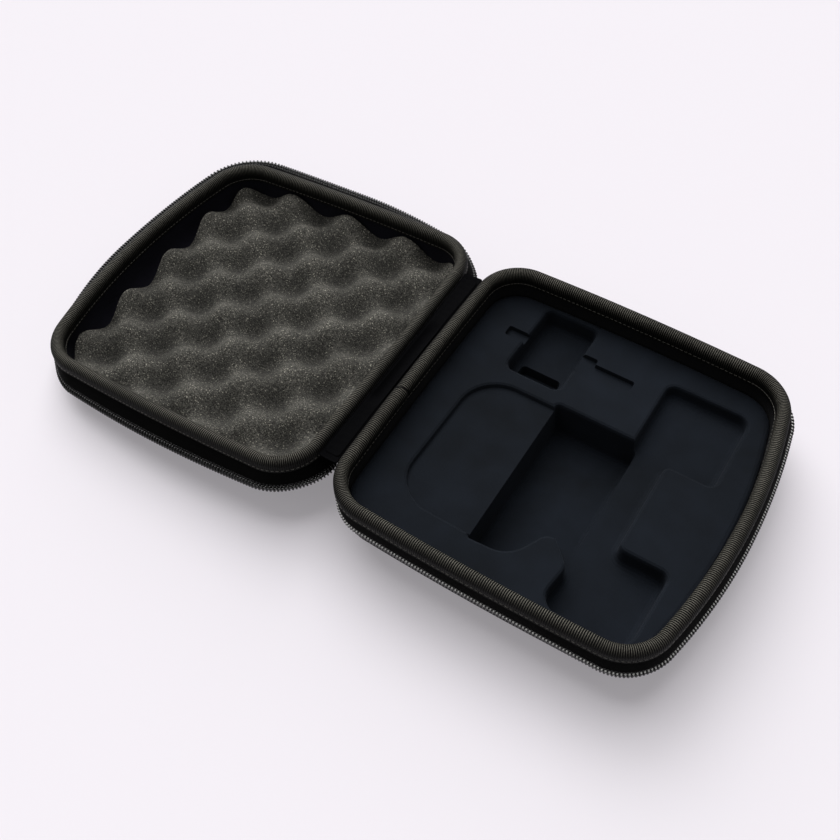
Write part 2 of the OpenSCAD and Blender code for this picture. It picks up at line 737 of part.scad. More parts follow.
// Clearance between the slider's plate and the pin
pin_drop = 0.9;
pull_y = slider_y + slider_l / 2;
pull_z = outer_plate_z - slider_plate_t - pin_drop - pull_pin_r;
module plate_outline() {
    w = strand_x + coil_r + slider_gap + slider_wall;
    r = 2.2;
    translate([-w, slider_y])
        square([2 * w, slider_l - slider_nose]);
    translate([-w + 1.5, slider_y])
        square([2 * w - 3, slider_l]);
    for (x = [-1, 1])
        translate([x * (w - r), slider_y + slider_l - 3.6])
            circle(r, $fn = 48);
}
module bridge_profile() {
    h = bridge_h;
    r = 2.2;
    difference() {
        union() {
            translate([-2 * r, -1])
                square([4 * r, h + 1 - r]);
            translate([-r, -1])
                square([2 * r, h + 1]);
            for (x = [-1, 1])
                translate([x * r, h - r])
                    circle(r, $fn = 48);
        }
        translate([-3, -2])
            square([6, h + 2 - bridge_top]);
    }
}
module slider(side) {
    w = strand_x + coil_r + slider_gap;
    color(nickel)
        at_end(side) {
            translate([0, 0, inner_plate_z])
                linear_extrude(slider_plate_t - 0.1)
                    plate_outline();
            translate([0, 0, outer_plate_z - slider_plate_t])
                linear_extrude(slider_plate_t)
                    plate_outline();
            translate([0, slider_y + slider_l - 2, outer_plate_z - eps])
                cylinder(h = inner_plate_z - outer_plate_z + 2 * eps, r = 0.95, $fn = 32);
            for (x = [-w - slider_wall, w])
                translate([x, slider_y, outer_plate_z - eps])
                    cube([slider_wall, slider_l - slider_nose,
                        end_tape_z - tape_t - slider_gap - outer_plate_z]);
            translate([bridge_w / 2, pull_y, outer_plate_z - slider_plate_t])
                rotate([90, 180, 90])
                    mirror([0, 0, 1])
                        linear_extrude(bridge_w)
                            bridge_profile();
        }
}

// Pull: a cross pin under the bridge, two arms beside it and a tang in the grip
arm_in = bridge_w / 2 + 0.3;
arm_w = 1.4;
pull_t = 1.3;
window_l = 5.2;
neck_l = 8;
tang_w = 3.6;
// The tang stops this far short of the grip's tip
tang_end = 4;
tang_gap = 0.1;
module pull_tab(side) {
    color(nickel)
        at_end(side)
            translate([0, pull_y, pull_z]) {
                translate([-arm_in - eps, 0, 0])
                    rotate([0, 90, 0])
                        cylinder(h = 2 * arm_in + 2 * eps, r = pull_pin_r, $fn = 32);
                for (x = [-arm_in - arm_w, arm_in])
                    translate([x, 0, 0]) {
                        rotate([0, 90, 0])
                            cylinder(h = arm_w, r = pull_pin_r + 0.3, $fn = 32);
                        translate([0, -pull_t / 2, -window_l - 1])
                            cube([arm_w, pull_t, window_l + 1]);
                    }
                translate([-arm_in - arm_w, -pull_t / 2, -neck_l])
                    cube([2 * (arm_in + arm_w), pull_t, neck_l - window_l]);
                translate([-tang_w / 2, -pull_t / 2, -pull_l + tang_end])
                    cube([tang_w, pull_t, pull_l - tang_end - neck_l + eps]);
            }
}

grip_t = 3.4;
grip_rib_r = 0.9;
grip_rib_pitch = 2.6;
module grip_outline() {
    r = 2;
    top = -neck_l - tang_gap;
    translate([-grip_w / 2, -pull_l + r])
        square([grip_w, pull_l + top - r - 1]);
    translate([-grip_w / 2 + r, -pull_l])
        square([grip_w - 2 * r, pull_l + top]);
    for (x = [-1, 1]) {
        translate([x * (grip_w / 2 - r), -pull_l + r])
            circle(r, $fn = 32);
        translate([x * (grip_w / 2 - r), top - r])
            circle(r, $fn = 32);
    }
}
module pull_grip(side) {
    color(rubber)
        at_end(side)
            translate([0, pull_y, pull_z])
                difference() {
                    translate([0, grip_t / 2, 0])
                        rotate([90, 0, 0])
                            linear_extrude(grip_t)
                                grip_outline();
                    translate([-tang_w / 2 - tang_gap, -pull_t / 2 - tang_gap, -pull_l + tang_end - tang_gap])
                        cube([tang_w + 2 * tang_gap, pull_t + 2 * tang_gap, pull_l]);
                    for (k = [0:4], y = [-1, 1])
                        translate([-grip_w, y * (grip_t / 2 + 0.5), -neck_l - 5 - grip_rib_pitch * k])
                            rotate([0, 90, 0])
                                cylinder(h = 2 * grip_w, r = grip_rib_r, $fn = 24);
                }
}

module base_shell() { color(black_shell) in_base() bowl(wall_x, base_h, base_r, shell_t); }
module base_lining() {
    d = shell_t + glue_gap;
    color(black_cloth)
        in_base()
            bowl(lining_x, base_h - d, base_r - d, lining_t);
}
module reel_tray() {
    color(velvet)
        in_base()
            translate([0, 0, -tray_drop])
                reel_tray_solid();
}
module base_binding() { color(bind_grey) in_base() binding(); }
module base_zip_tape() { color(black_cloth) in_base() zip_tape(BASE_FLARE); }
module base_zip_coil() { color(coil_black) in_base() zip_coil(BASE_FLARE); }
module lid_shell() { color(black_shell) in_lid() bowl(wall_x, lid_h, lid_r, shell_t); }
module lid_lining() {
    d = shell_t + glue_gap;
    color(navy_cloth)
        in_lid()
            bowl(lining_x, lid_h - d, lid_r - d, lining_t);
}
module lid_foam() { color(foam_grey) in_lid() foam_solid(); }
module lid_binding() { color(bind_grey) in_lid() binding(); }
module lid_zip_tape() { color(black_cloth) in_lid() zip_tape(LID_FLARE); }
module lid_zip_coil() { color(coil_black) in_lid() zip_coil(LID_FLARE); }
module spine_strip() {
    color(black_cloth)
        in_spine()
            translate([-spine_w + fold_gap, -spine_l / 2, -spine_t / 2])
                cube([spine_w - 2 * fold_gap, spine_l, spine_t]);
}
module spine_lining() {
    color(navy_cloth)
        in_spine()
            translate([-spine_w + 2 * fold_gap, -spine_l / 2 + cloth_inset, spine_t / 2 + glue_gap])
                cube([spine_w - 4 * fold_gap, spine_l - 2 * cloth_inset, spine_cloth_t]);
}

module front_zip_end() { zip_end(-1); }
module rear_zip_end() { zip_end(1); }
module front_zip_stop() { zip_stop(-1); }
module rear_zip_stop() { zip_stop(1); }
module front_slider() { slider(-1); }
module rear_slider() { slider(1); }
module front_pull_tab() { pull_tab(-1); }
module rear_pull_tab() { pull_tab(1); }
module front_pull_grip() { pull_grip(-1); }
module rear_pull_grip() { pull_grip(1); }

base_shell();
base_lining();
reel_tray();
base_binding();
base_zip_tape();
base_zip_coil();
lid_shell();
lid_lining();
lid_foam();
lid_binding();
lid_zip_tape();
lid_zip_coil();
spine_strip();
spine_lining();
front_zip_end();
rear_zip_end();
front_zip_stop();
rear_zip_stop();
front_slider();
rear_slider();
front_pull_tab();
rear_pull_tab();
front_pull_grip();
rear_pull_grip();
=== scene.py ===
# %% [markdown]
# # Fishing reel case, laid open
#
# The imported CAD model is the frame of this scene: its shells, tray, sliders and
# pulls are shown as they are, with materials, and the soft pieces (foam,
# ribbon binding, zip tapes, spine cloth) are made again here with the surface
# that the real ones have. Lengths in the tables below are in millimetres, as
# in the CAD source, and turn into metres only when a mesh is made.

# %% Imports and the frame
import math

import bpy
import numpy as np
from mathutils import Matrix, Vector


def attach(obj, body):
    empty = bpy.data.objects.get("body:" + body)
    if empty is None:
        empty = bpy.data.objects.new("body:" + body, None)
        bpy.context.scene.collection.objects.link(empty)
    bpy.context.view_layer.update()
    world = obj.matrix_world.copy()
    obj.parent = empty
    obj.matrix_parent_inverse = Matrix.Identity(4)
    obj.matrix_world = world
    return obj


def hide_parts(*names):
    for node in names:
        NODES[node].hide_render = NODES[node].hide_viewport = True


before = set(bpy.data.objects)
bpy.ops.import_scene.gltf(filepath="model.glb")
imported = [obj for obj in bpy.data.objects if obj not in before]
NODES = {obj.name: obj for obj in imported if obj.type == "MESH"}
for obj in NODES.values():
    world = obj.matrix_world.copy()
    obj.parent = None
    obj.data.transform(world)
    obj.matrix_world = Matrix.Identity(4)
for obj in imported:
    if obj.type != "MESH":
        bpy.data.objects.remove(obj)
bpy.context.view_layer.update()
pi = math.pi

# %% [markdown]
# ## Camera
#
# The viewpoint was found by fitting a pinhole camera to the two rims in the
# photograph: it looks down at 54.6 degrees, turned 32.8 degrees round the case,
# from about 0.6 m away. The alternative, judging the angle by eye, leaves the
# perspective of the two halves wrong by several pixels at the corners.

# %% Camera
AZIMUTH, ELEVATION, ROLL = (math.radians(v) for v in (32.79, 54.57, -0.87))
EYE, LENS_MM, SENSOR_MM = (0.1124, -0.3310, 0.5477), 46.70, 36


def add_object(name, data):
    """Puts a camera, a lamp or a mesh into the scene as an object."""
    ob = bpy.data.objects.new(name, data)
    bpy.context.scene.collection.objects.link(ob)
    return ob


back = Vector((math.sin(AZIMUTH) * math.cos(ELEVATION),
               -math.cos(AZIMUTH) * math.cos(ELEVATION), math.sin(ELEVATION)))
level = Vector((math.cos(AZIMUTH), math.sin(AZIMUTH), 0))
rising = back.cross(level)
right = level * math.cos(ROLL) + rising * math.sin(ROLL)
up = rising * math.cos(ROLL) - level * math.sin(ROLL)

camera_data = bpy.data.cameras.new("camera")
camera_data.sensor_width = SENSOR_MM
camera_data.lens = LENS_MM
camera_data.clip_start = 0.01
camera = add_object("camera", camera_data)
camera.matrix_world = Matrix.Translation(EYE) @ Matrix((right, up, back)).transposed().to_4x4()
bpy.context.scene.camera = camera
bpy.context.scene.view_settings.view_transform = "Standard"
print("camera at", [round(v, 4) for v in camera.location])

# %% [markdown]
# ## The outline of a half
#
# Both halves share one plan: eight arcs that meet tangent to each other. The
# CAD sweeps its shells round them, and the ribbon, tapes, teeth and stitches
# here follow the same arcs, so that nothing drifts off the shell. A curve
# object could carry them too, but then its own length, which sets where each
# rib and tooth falls, would have to be measured back.

# %% Arcs of the outline
WIDTH, LENGTH = 210.0, 210.0
HINGE_CORNER_R, OPEN_CORNER_R = 29.0, 31.0
HINGE_BOW, OPEN_BOW, END_BOW = 1.5, 15.0, 3.0
SETTLING_ROUNDS = 9


def side_angle(half, bow, corner_r):
    """Half the angle of a side's arc, between the two corners that it touches."""
    r = (half * half + bow * bow) / (2 * bow)
    return math.radians(round(math.degrees(math.asin((half - corner_r) / (r - corner_r))), 3))


hinge_a = side_angle(LENGTH / 2, HINGE_BOW, HINGE_CORNER_R)
open_a = side_angle(LENGTH / 2, OPEN_BOW, OPEN_CORNER_R)
end_a1 = side_angle(WIDTH / 2, END_BOW, HINGE_CORNER_R)
end_a2 = side_angle(WIDTH / 2, END_BOW, OPEN_CORNER_R)
y1, y2 = LENGTH / 2 - HINGE_CORNER_R, LENGTH / 2 - OPEN_CORNER_R
for _ in range(SETTLING_ROUNDS):  # corners and end arcs depend on each other
    x1 = HINGE_CORNER_R + y1 * (1 - math.cos(hinge_a)) / math.sin(hinge_a)
    x2 = WIDTH - OPEN_CORNER_R - y2 * (1 - math.cos(open_a)) / math.sin(open_a)
    end_r = (x2 - x1 + OPEN_CORNER_R * math.sin(end_a2) + HINGE_CORNER_R * math.sin(end_a1)) / (
        math.sin(end_a1) + math.sin(end_a2))
    y1 = LENGTH / 2 - end_r + (end_r - HINGE_CORNER_R) * math.cos(end_a1)
    y2 = LENGTH / 2 - end_r + (end_r - OPEN_CORNER_R) * math.cos(end_a2)
hinge_r = HINGE_CORNER_R + y1 / math.sin(hinge_a)
open_r = OPEN_CORNER_R + y2 / math.sin(open_a)
front_x = x1 + (end_r - HINGE_CORNER_R) * math.sin(end_a1)
# centre x, centre y, radius, first angle, last angle, key at its start and end
ARCS = [
    (hinge_r, 0, hinge_r, pi - hinge_a, pi + hinge_a, -0.5, 0.5),
    (x1, -y1, HINGE_CORNER_R, pi + hinge_a, 1.5 * pi - end_a1, 0.5, 1.5),
    (front_x, end_r - LENGTH / 2, end_r, 1.5 * pi - end_a1, 1.5 * pi + end_a2, 1.5, 2.5),
    (x2, -y2, OPEN_CORNER_R, 1.5 * pi + end_a2, 2 * pi - open_a, 2.5, 3.5),
    (WIDTH - open_r, 0, open_r, -open_a, open_a, 3.5, 4.5),
    (x2, y2, OPEN_CORNER_R, open_a, 0.5 * pi - end_a2, 4.5, 5.5),
    (front_x, LENGTH / 2 - end_r, end_r, 0.5 * pi - end_a2, 0.5 * pi + end_a1, 5.5, 6.5),
    (x1, y1, HINGE_CORNER_R, 0.5 * pi + end_a1, pi - hinge_a, 6.5, 7.5),
]
print("arcs:", len(ARCS), "with radii", sorted({round(arc[2]) for arc in ARCS}), "mm")

# %% Stations round the outline
def stations(step, start_y=None):
    """Stations round the outline: rows of x, y, outward x, outward y, run so far
    and key. With start_y they begin and end on the hinge side at that distance
    from its middle; without it they go all the way round."""
    rows, run = [], 0.0
    arcs = list(ARCS)
    if start_y is not None:
        a = math.asin(start_y / hinge_r)
        cx, cy, r = ARCS[0][:3]
        arcs = [(cx, cy, r, pi + a, pi + hinge_a, 0.0, 0.5)] + arcs[1:] + [
            (cx, cy, r, pi - hinge_a, pi - a, 7.5, 8.0)]
    for cx, cy, r, a1, a2, k1, k2 in arcs:
        n = max(2, int(r * (a2 - a1) / step))
        for i in range(n):
            f = i / n
            a = a1 + (a2 - a1) * f
            rows.append((cx + r * math.cos(a), cy + r * math.sin(a), math.cos(a), math.sin(a),
                         run + r * (a2 - a1) * f, k1 + (k2 - k1) * f))
        run += r * (a2 - a1)
    if start_y is not None:
        rows.append((cx + r * math.cos(a2), cy + r * math.sin(a2), math.cos(a2), math.sin(a2),
                     run, k2))
    return np.array(rows), run


RING_STEP, LAP_Y = 0.8, 19.0
RING, RING_LENGTH = stations(RING_STEP)
HINGE_SIDE = RING[RING[:, 5] < 0.5]
LAP_RUN = float(np.interp(LAP_Y, -HINGE_SIDE[:, 1], HINGE_SIDE[:, 4]))
print("outline:", round(RING_LENGTH, 1), "mm round,", len(RING), "stations")

# %% [markdown]
# ## Where the halves lie
#
# The base half stands on the table. The lid half hangs on the cloth spine's
# two fold lines and slopes down until its far edge rests on the table, which
# is why its ribbon, foam and teeth pass through this second placing. A turned
# empty as their parent could carry them too, but meshes made in place keep
# every piece in the one frame that the joints turn about.

# %% Placing
BASE_H, FOLD_OUT, SPINE_W, FOLD_DROP = 50.0, 1.1, 8.8, 4.2
SLOPE = math.radians(4.2826)


def turn_y(a):
    """A turn about the hinge's direction."""
    return Matrix.Rotation(a, 4, "Y")


def shift(x, y, z):
    return Matrix.Translation((x, y, z))


TO_BASE = shift(-WIDTH / 2, 0, BASE_H)
TO_SPINE = shift(-WIDTH / 2 - FOLD_OUT, 0, BASE_H - FOLD_DROP) @ turn_y(-SLOPE / 2)
TO_LID = TO_SPINE @ shift(-SPINE_W, 0, 0) @ turn_y(-SLOPE / 2) @ shift(
    -FOLD_OUT, 0, FOLD_DROP) @ Matrix.Diagonal((-1, 1, 1, 1))
HALVES = {"base": TO_BASE, "lid": TO_LID}


def placed(points, place):
    """Points in millimetres in a half's own frame, as metres in the row frame."""
    m = np.array(place)
    p = np.asarray(points, float).reshape(-1, 3)
    return (p @ m[:3, :3].T + m[:3, 3]) * 0.001


print("lid placed with a slope of", round(math.degrees(SLOPE), 2), "degrees")

# %% Meshes from grids
def grid_mesh(name, points, place, uv, wrap_u=False, wrap_v=False):
    """A mesh from a grid of points [i, j] with uv [i, j], both given in
    millimetres and stored in metres. It wraps round in u (i) or v (j)."""
    n, m = points.shape[:2]
    verts = placed(points, place)
    flip = Matrix(place).determinant() < 0
    faces, loops = [], []
    for i in range(n if wrap_u else n - 1):
        for j in range(m if wrap_v else m - 1):
            i2, j2 = (i + 1) % n, (j + 1) % m
            quad = [(i, j), (i2, j), (i2, j2), (i, j2)]
            at = [(i, j), (i + 1, j), (i + 1, j + 1), (i, j + 1)]
            if flip:
                quad, at = quad[::-1], at[::-1]
            faces.append([a * m + b for a, b in quad])
            loops += at
    mesh = bpy.data.meshes.new(name)
    mesh.from_pydata([tuple(v) for v in verts], [], faces)
    layer = mesh.uv_layers.new(name="run")
    grid = np.zeros((n + 1, m + 1, 2))
    grid[:n, :m] = uv
    grid[n, :m] = uv[-1] * 2 - uv[-2]
    grid[:, m] = grid[:, m - 1] * 2 - grid[:, m - 2]
    at = np.array(loops)
    layer.data.foreach_set("uv", (grid[at[:, 0], at[:, 1]] * 0.001).astype(np.float32).ravel())
    mesh.polygons.foreach_set("use_smooth", [True] * len(mesh.polygons))
    mesh.update()
    return add_object(name, mesh)


def finish_piece(ob, material, slot, body, replaces=()):
    """Gives a piece its material and the body that it rides on. Its slot is not used."""
    ob.data.materials.clear()
    ob.data.materials.append(material)
    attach(ob, body)
    if replaces:
        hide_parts(*replaces)
    print(ob.name, len(ob.data.polygons), "faces, rides on", body)
    return ob


print("helpers ready:", grid_mesh.__name__, "and", finish_piece.__name__)

# %% [markdown]
# ## Materials
#
# Every surface here is cloth, flock, foam, nylon or enamelled metal, so each
# material carries its own structure: the ribs of the grosgrain, the twill of
# the tapes, the nap of the flock, the open cells of the foam. An image texture
# could show them as well, but only at the size it was drawn for. The nodes use
# object coordinates, or the run-length coordinates of the meshes made here, so
# the grain keeps its real size. Lengths in the nodes are in metres.

# %% Node helper
class Tree:
    """Adds nodes to a tree. An input takes a value or another node's socket."""

    def __init__(self, tree):
        self.tree, self.count = tree, 0

    def add(self, kind, values=None, **settings):
        node = self.tree.nodes.new(kind)
        self.count += 1
        node.location = (-220 * (1 + self.count % 8), -180 * (self.count // 8))
        for key, value in settings.items():
            setattr(node, key, value)
        for key, value in (values or {}).items():
            self.put(node.inputs[key], value)
        return node

    def put(self, socket, value):
        if isinstance(value, bpy.types.NodeSocket):
            self.tree.links.new(value, socket)
        else:
            socket.default_value = value

    def math(self, operation, a, b=0.0, c=0.0):
        return self.add("ShaderNodeMath", {0: a, 1: b, 2: c}, operation=operation).outputs[0]


print("helper ready:", Tree.__name__)

# %% Material helper
class Surface(Tree):
    """A material in the making, with its object coordinates at hand."""

    def __init__(self, name):
        self.material = bpy.data.materials.new(name)
        self.material.use_nodes = True
        super().__init__(self.material.node_tree)
        self.shader = self.tree.nodes["Principled BSDF"]
        self.coords = self.add("ShaderNodeTexCoord").outputs["Object"]

    def run(self):
        """How far along the piece and how far across it."""
        uv = self.add("ShaderNodeUVMap", uv_map="run").outputs["UV"]
        return self.add("ShaderNodeSeparateXYZ", {0: uv}).outputs[:2]

    def stored(self, name):
        return self.add("ShaderNodeAttribute", attribute_name=name).outputs["Fac"]

    def noise(self, scale, detail=2.0, roughness=0.5):
        return self.add("ShaderNodeTexNoise", {
            "Vector": self.coords, "Scale": scale, "Detail": detail,
            "Roughness": roughness}).outputs["Fac"]

    def wave(self, along, pitch):
        """From -1 to 1 and back once in every pitch."""
        return self.math("SINE", self.math("MULTIPLY", along, 2 * pi / pitch))

    def raised(self, wave):
        """The same wave from 0 to 1."""
        return self.math("MULTIPLY_ADD", wave, 0.5, 0.5)

    def total(self, first, *others):
        """The sum of pairs of a value and its weight."""
        result = self.math("MULTIPLY", *first)
        for value, weight in others:
            result = self.math("MULTIPLY_ADD", value, weight, result)
        return result

    def mix(self, factor, a, b):
        node = self.add("ShaderNodeMix", {0: factor, 6: a, 7: b}, data_type="RGBA")
        return node.outputs[2]

    def ramp(self, value, low, high):
        return self.add("ShaderNodeMapRange", {
            "Value": value, "From Min": low, "From Max": high}).outputs["Result"]

    def bump(self, height, distance, strength=1.0, **normal):
        values = {"Height": height, "Distance": distance, "Strength": strength, **normal}
        return self.add("ShaderNodeBump", values).outputs["Normal"]

    def finish(self, **values):
        for key, value in values.items():
            self.put(self.shader.inputs[key.replace("_", " ")], value)
        return self.material


def rgb(r, g, b):
    """A colour from the values a screen shows, 0 to 255."""
    line = [v / 255 / 12.92 if v <= 10.31 else ((v / 255 + 0.055) / 1.055) ** 2.4
            for v in (r, g, b)]
    return (*line, 1.0)


print("one screen grey of 100 is", round(rgb(100, 100, 100)[0], 4), "in the nodes")

# %% [markdown]
# ## Woven cloth
#
# The shells are covered in a plain nylon weave and lined with a finer cloth,
# black in the base and navy in the lid. Two sine waves that cross give the
# threads, fine noise their fuzz and slow noise the wear. Modelled threads
# would be too fine to see from here, and the shells keep their CAD meshes.

# %% Cloth of the shells and linings
def weave_material(name, dark, light, pitch, roughness, sheen):
    """Woven or knitted cloth: two crossed rows of threads, fuzzy and a little worn."""
    t = Surface(name)
    x, y, z = t.add("ShaderNodeSeparateXYZ", {0: t.coords}).outputs[:3]
    warp, weft = (t.wave(t.math("ADD", side, z), pitch) for side in (x, y))
    cloth = t.raised(t.math("MULTIPLY", warp, weft))
    fuzz = t.noise(900.0, 3.0)
    worn = t.noise(22.0, 3.0, 0.6)
    tone = t.total((fuzz, 0.45), (cloth, 0.55))
    colour = t.mix(tone, dark, light)
    colour = t.mix(t.ramp(worn, 0.35, 0.75), colour, t.mix(0.5, colour, light))
    return t.finish(
        Base_Color=colour, Roughness=t.math("MULTIPLY_ADD", worn, 0.15, roughness - 0.08),
        Specular_IOR_Level=0.2, Sheen_Weight=sheen, Sheen_Roughness=0.5,
        Normal=t.bump(tone, 0.0001, 0.8))


shell_cloth = weave_material("shell cloth", rgb(5, 5, 5), rgb(22, 22, 23), 0.0008, 0.8, 0.0)
black_lining = weave_material("black lining", rgb(5, 5, 6), rgb(18, 18, 21), 0.0005, 0.9, 0.02)
navy_lining = weave_material("navy lining", rgb(6, 6, 12), rgb(21, 20, 32), 0.0005, 0.9, 0.02)
print("cloths:", shell_cloth.name, black_lining.name, navy_lining.name)

# %% [markdown]
# ## The tray's flock
#
# The tray is sprayed with glue and short fibres, which stand up like velvet and
# look darker or paler where they were brushed. Real hairs would take millions
# of strands on a surface this size. A slow noise for the brushing, a fine one
# for the fibres and a weak sheen give the same look from arm's length.

# %% Flock
def flock_material():
    t = Surface("tray flock")
    nap = t.noise(16.0, 4.0, 0.55)
    patch = t.noise(60.0, 2.0, 0.5)
    fibre = t.noise(2600.0, 2.0, 0.7)
    tone = t.total((fibre, 0.3), (patch, 0.2), (nap, 0.5))
    colour = t.mix(t.ramp(tone, 0.3, 0.72), rgb(9, 12, 16), rgb(23, 28, 36))
    brushed = t.bump(nap, 0.0012, 0.25)
    return t.finish(
        Base_Color=colour, Roughness=0.95, Specular_IOR_Level=0.15,
        Sheen_Weight=0.04, Sheen_Roughness=0.45, Sheen_Tint=rgb(150, 165, 190),
        Normal=t.bump(fibre, 0.00018, 0.5, Normal=brushed))


tray_flock = flock_material()
print("made", tray_flock.name)

# %% [markdown]
# ## Ribbon, tape and webbing
#
# Grosgrain has thick ribs across the ribbon, bound by fine threads along it.
# The zip tape and the spine's webbing are a closer herringbone twill. All three
# bend round corners, so their threads can't follow the object's axes: they read
# the "run" coordinates of their meshes, which say how far along and across the
# piece each point lies. The ribbon's two legs are darkened as painted shade, so
# its crown reads paler, and a dark slanting line of painted shadow marks where
# its ends lap over each other.

# %% Ribbon material
RIB_PITCH, BINDER_PITCH = 0.00127, 0.00042
LIT_CROWN_OUT, LIT_CROWN_IN = (0.0060, 0.0108), (0.0185, 0.0120)
LAP_SHADOW_SLANT, LAP_SHADOW_MIDDLE = 0.3, 0.012


def ribbon_material():
    t = Surface("grosgrain binding")
    u, v = t.run()
    wobble = t.math("MULTIPLY", t.noise(130.0, 2.0), 0.0004)
    rib = t.raised(t.wave(t.math("ADD", u, wobble), RIB_PITCH))
    binder = t.raised(t.wave(v, BINDER_PITCH))
    fuzz = t.noise(1500.0, 2.0, 0.7)
    patch = t.noise(45.0, 3.0, 0.6)
    tone = t.total((fuzz, 0.3), (binder, 0.1), (rib, 0.75))
    colour = t.mix(t.ramp(tone, 0.6, 0.98), rgb(1, 1, 1), rgb(117, 114, 105))
    colour = t.mix(t.ramp(patch, 0.4, 0.8), colour, t.mix(0.4, colour, rgb(12, 11, 10)))
    # Painted shade: both legs of the ribbon are darkened to near black, and only its crown keeps
    # the rib colour.
    lit_crown = t.math("MULTIPLY", t.ramp(v, *LIT_CROWN_OUT), t.ramp(v, *LIT_CROWN_IN))
    colour = t.mix(t.math("MULTIPLY_ADD", lit_crown, 0.9, 0.1), rgb(4, 4, 4), colour)
    # Painted shadow: a thin near-black slanting line where the ribbon's ends lap over each other.
    slant = t.math("MULTIPLY", t.math("SUBTRACT", v, LAP_SHADOW_MIDDLE), LAP_SHADOW_SLANT)
    lap = t.math("ABSOLUTE", t.math("ADD", t.math("SUBTRACT", u, LAP_RUN / 1000), slant))
    colour = t.mix(t.ramp(lap, 0.0004, 0.0012), rgb(1, 1, 1), colour)
    height = t.math("MULTIPLY_ADD", binder, 0.15, rib)
    return t.finish(Base_Color=colour, Roughness=0.6, Specular_IOR_Level=0.09,
                    Normal=t.bump(height, 0.0004))


binding_ribbon = ribbon_material()
print("made", binding_ribbon.name)

# %% Tape and webbing material
TWILL_PITCH, HERRINGBONE = 0.0007, 0.0018


def tape_material(name, dark, light):
    t = Surface(name)
    u, v = t.run()
    turned = t.math("PINGPONG", v, HERRINGBONE)
    twill = t.raised(t.wave(t.math("ADD", u, turned), TWILL_PITCH))
    fuzz = t.noise(1300.0, 2.0, 0.6)
    patch = t.noise(40.0, 2.0)
    tone = t.total((fuzz, 0.4), (twill, 0.6))
    colour = t.mix(tone, dark, light)
    colour = t.mix(t.ramp(patch, 0.45, 0.8), colour, t.mix(0.6, colour, dark))
    return t.finish(Base_Color=colour, Roughness=0.9, Specular_IOR_Level=0.04,
                    Normal=t.bump(tone, 0.00012, 0.7))


zip_tape = tape_material("zip tape", rgb(2, 2, 2), rgb(11, 11, 11))
spine_web = tape_material("spine webbing", rgb(1, 1, 2), rgb(8, 8, 10))
print("made", zip_tape.name, "and", spine_web.name)

# %% [markdown]
# ## Nylon and thread
#
# The coil is black nylon wire with a painted highlight, pale grey, in the inner
# bend of each turn, where light catches it, which shows as a row of light dots.
# The wire's mesh stores how far across the coil each point lies, so the painted
# highlight sits in the bend and turns with it. A mask in object coordinates would
# slide off the bends where the coil goes round a corner. The thread is two plies
# twisted together, too fine for more than a noise.

# %% Nylon and thread materials
def nylon_material():
    t = Surface("zip nylon")
    scuff = t.noise(700.0, 3.0, 0.6)
    colour = t.mix(t.ramp(scuff, 0.5, 0.9), rgb(8, 8, 8), rgb(40, 40, 41))
    # Painted highlight: the inner bend of each turn is made pale grey, as where light catches the
    # wire.
    colour = t.mix(t.ramp(t.stored("bend"), -0.62, -0.9), colour, rgb(238, 238, 235))
    return t.finish(Base_Color=colour, Roughness=t.math("MULTIPLY_ADD", scuff, 0.2, 0.16),
                    Coat_Weight=0.3, Coat_Roughness=0.15, Specular_IOR_Level=0.5,
                    Normal=t.bump(scuff, 0.00003, 0.4))


def thread_material():
    t = Surface("sewing thread")
    ply = t.noise(1800.0, 1.0)
    colour = t.mix(ply, rgb(30, 29, 28), rgb(120, 116, 108))
    return t.finish(Base_Color=colour, Roughness=0.55, Sheen_Weight=0.2,
                    Normal=t.bump(ply, 0.0001, 0.7))


zip_nylon, sewing_thread = nylon_material(), thread_material()
print("made", zip_nylon.name, "and", sewing_thread.name)

# %% [markdown]
# ## Foam cells
#
# Cut foam is open cells between paler struts, with painted shade darkening the
# troughs of its waves. Real holes would need far more faces than the whole case
# has, so a cell texture draws the struts and a bump lifts them. The height that
# the pad's mesh stores sets that painted shade, and stray struts get a painted glint.

# %% Foam material
CELLS_PER_M = 1100.0


def foam_material():
    t = Surface("open cell foam")
    cells = t.add("ShaderNodeTexVoronoi", {"Vector": t.coords, "Scale": CELLS_PER_M},
                  feature="F1").outputs["Distance"]
    coarse = t.noise(420.0, 3.0, 0.65)
    cloud = t.noise(34.0, 3.0, 0.55)
    grain = t.total((coarse, 0.5), (cells, 0.6))
    colour = t.mix(t.ramp(grain, 0.25, 0.85), rgb(9, 9, 8), rgb(103, 101, 95))
    glint = t.math("GREATER_THAN", t.noise(CELLS_PER_M, 1.0, 0.5), 0.67)
    colour = t.mix(t.math("MULTIPLY", glint, 0.7), colour, rgb(190, 186, 172))
    colour = t.mix(t.ramp(cloud, 0.35, 0.75), colour, t.mix(0.35, colour, rgb(22, 22, 20)))
    # Painted shade: the troughs of the waves are darkened towards near black, by the height the
    # mesh stores.
    trough_shade = t.ramp(t.stored("wave"), 0.7, -0.8)
    colour = t.mix(trough_shade, colour, t.mix(0.55, colour, rgb(6, 6, 6)))
    return t.finish(Base_Color=colour, Roughness=0.95, Specular_IOR_Level=0.2,
                    Normal=t.bump(grain, 0.0006, 0.9))


foam_cells = foam_material()
print("made", foam_cells.name)

# %% [markdown]
# ## Enamel, grips and the CAD's own pieces
#
# Sliders, pulls and stops are cast zinc under black enamel, rubbed through in
# small spots where fingers pull them. The grips are soft plastic with the fine
# grain of an eroded mould. The stiff pieces keep their CAD meshes, so here
# they only take a material.

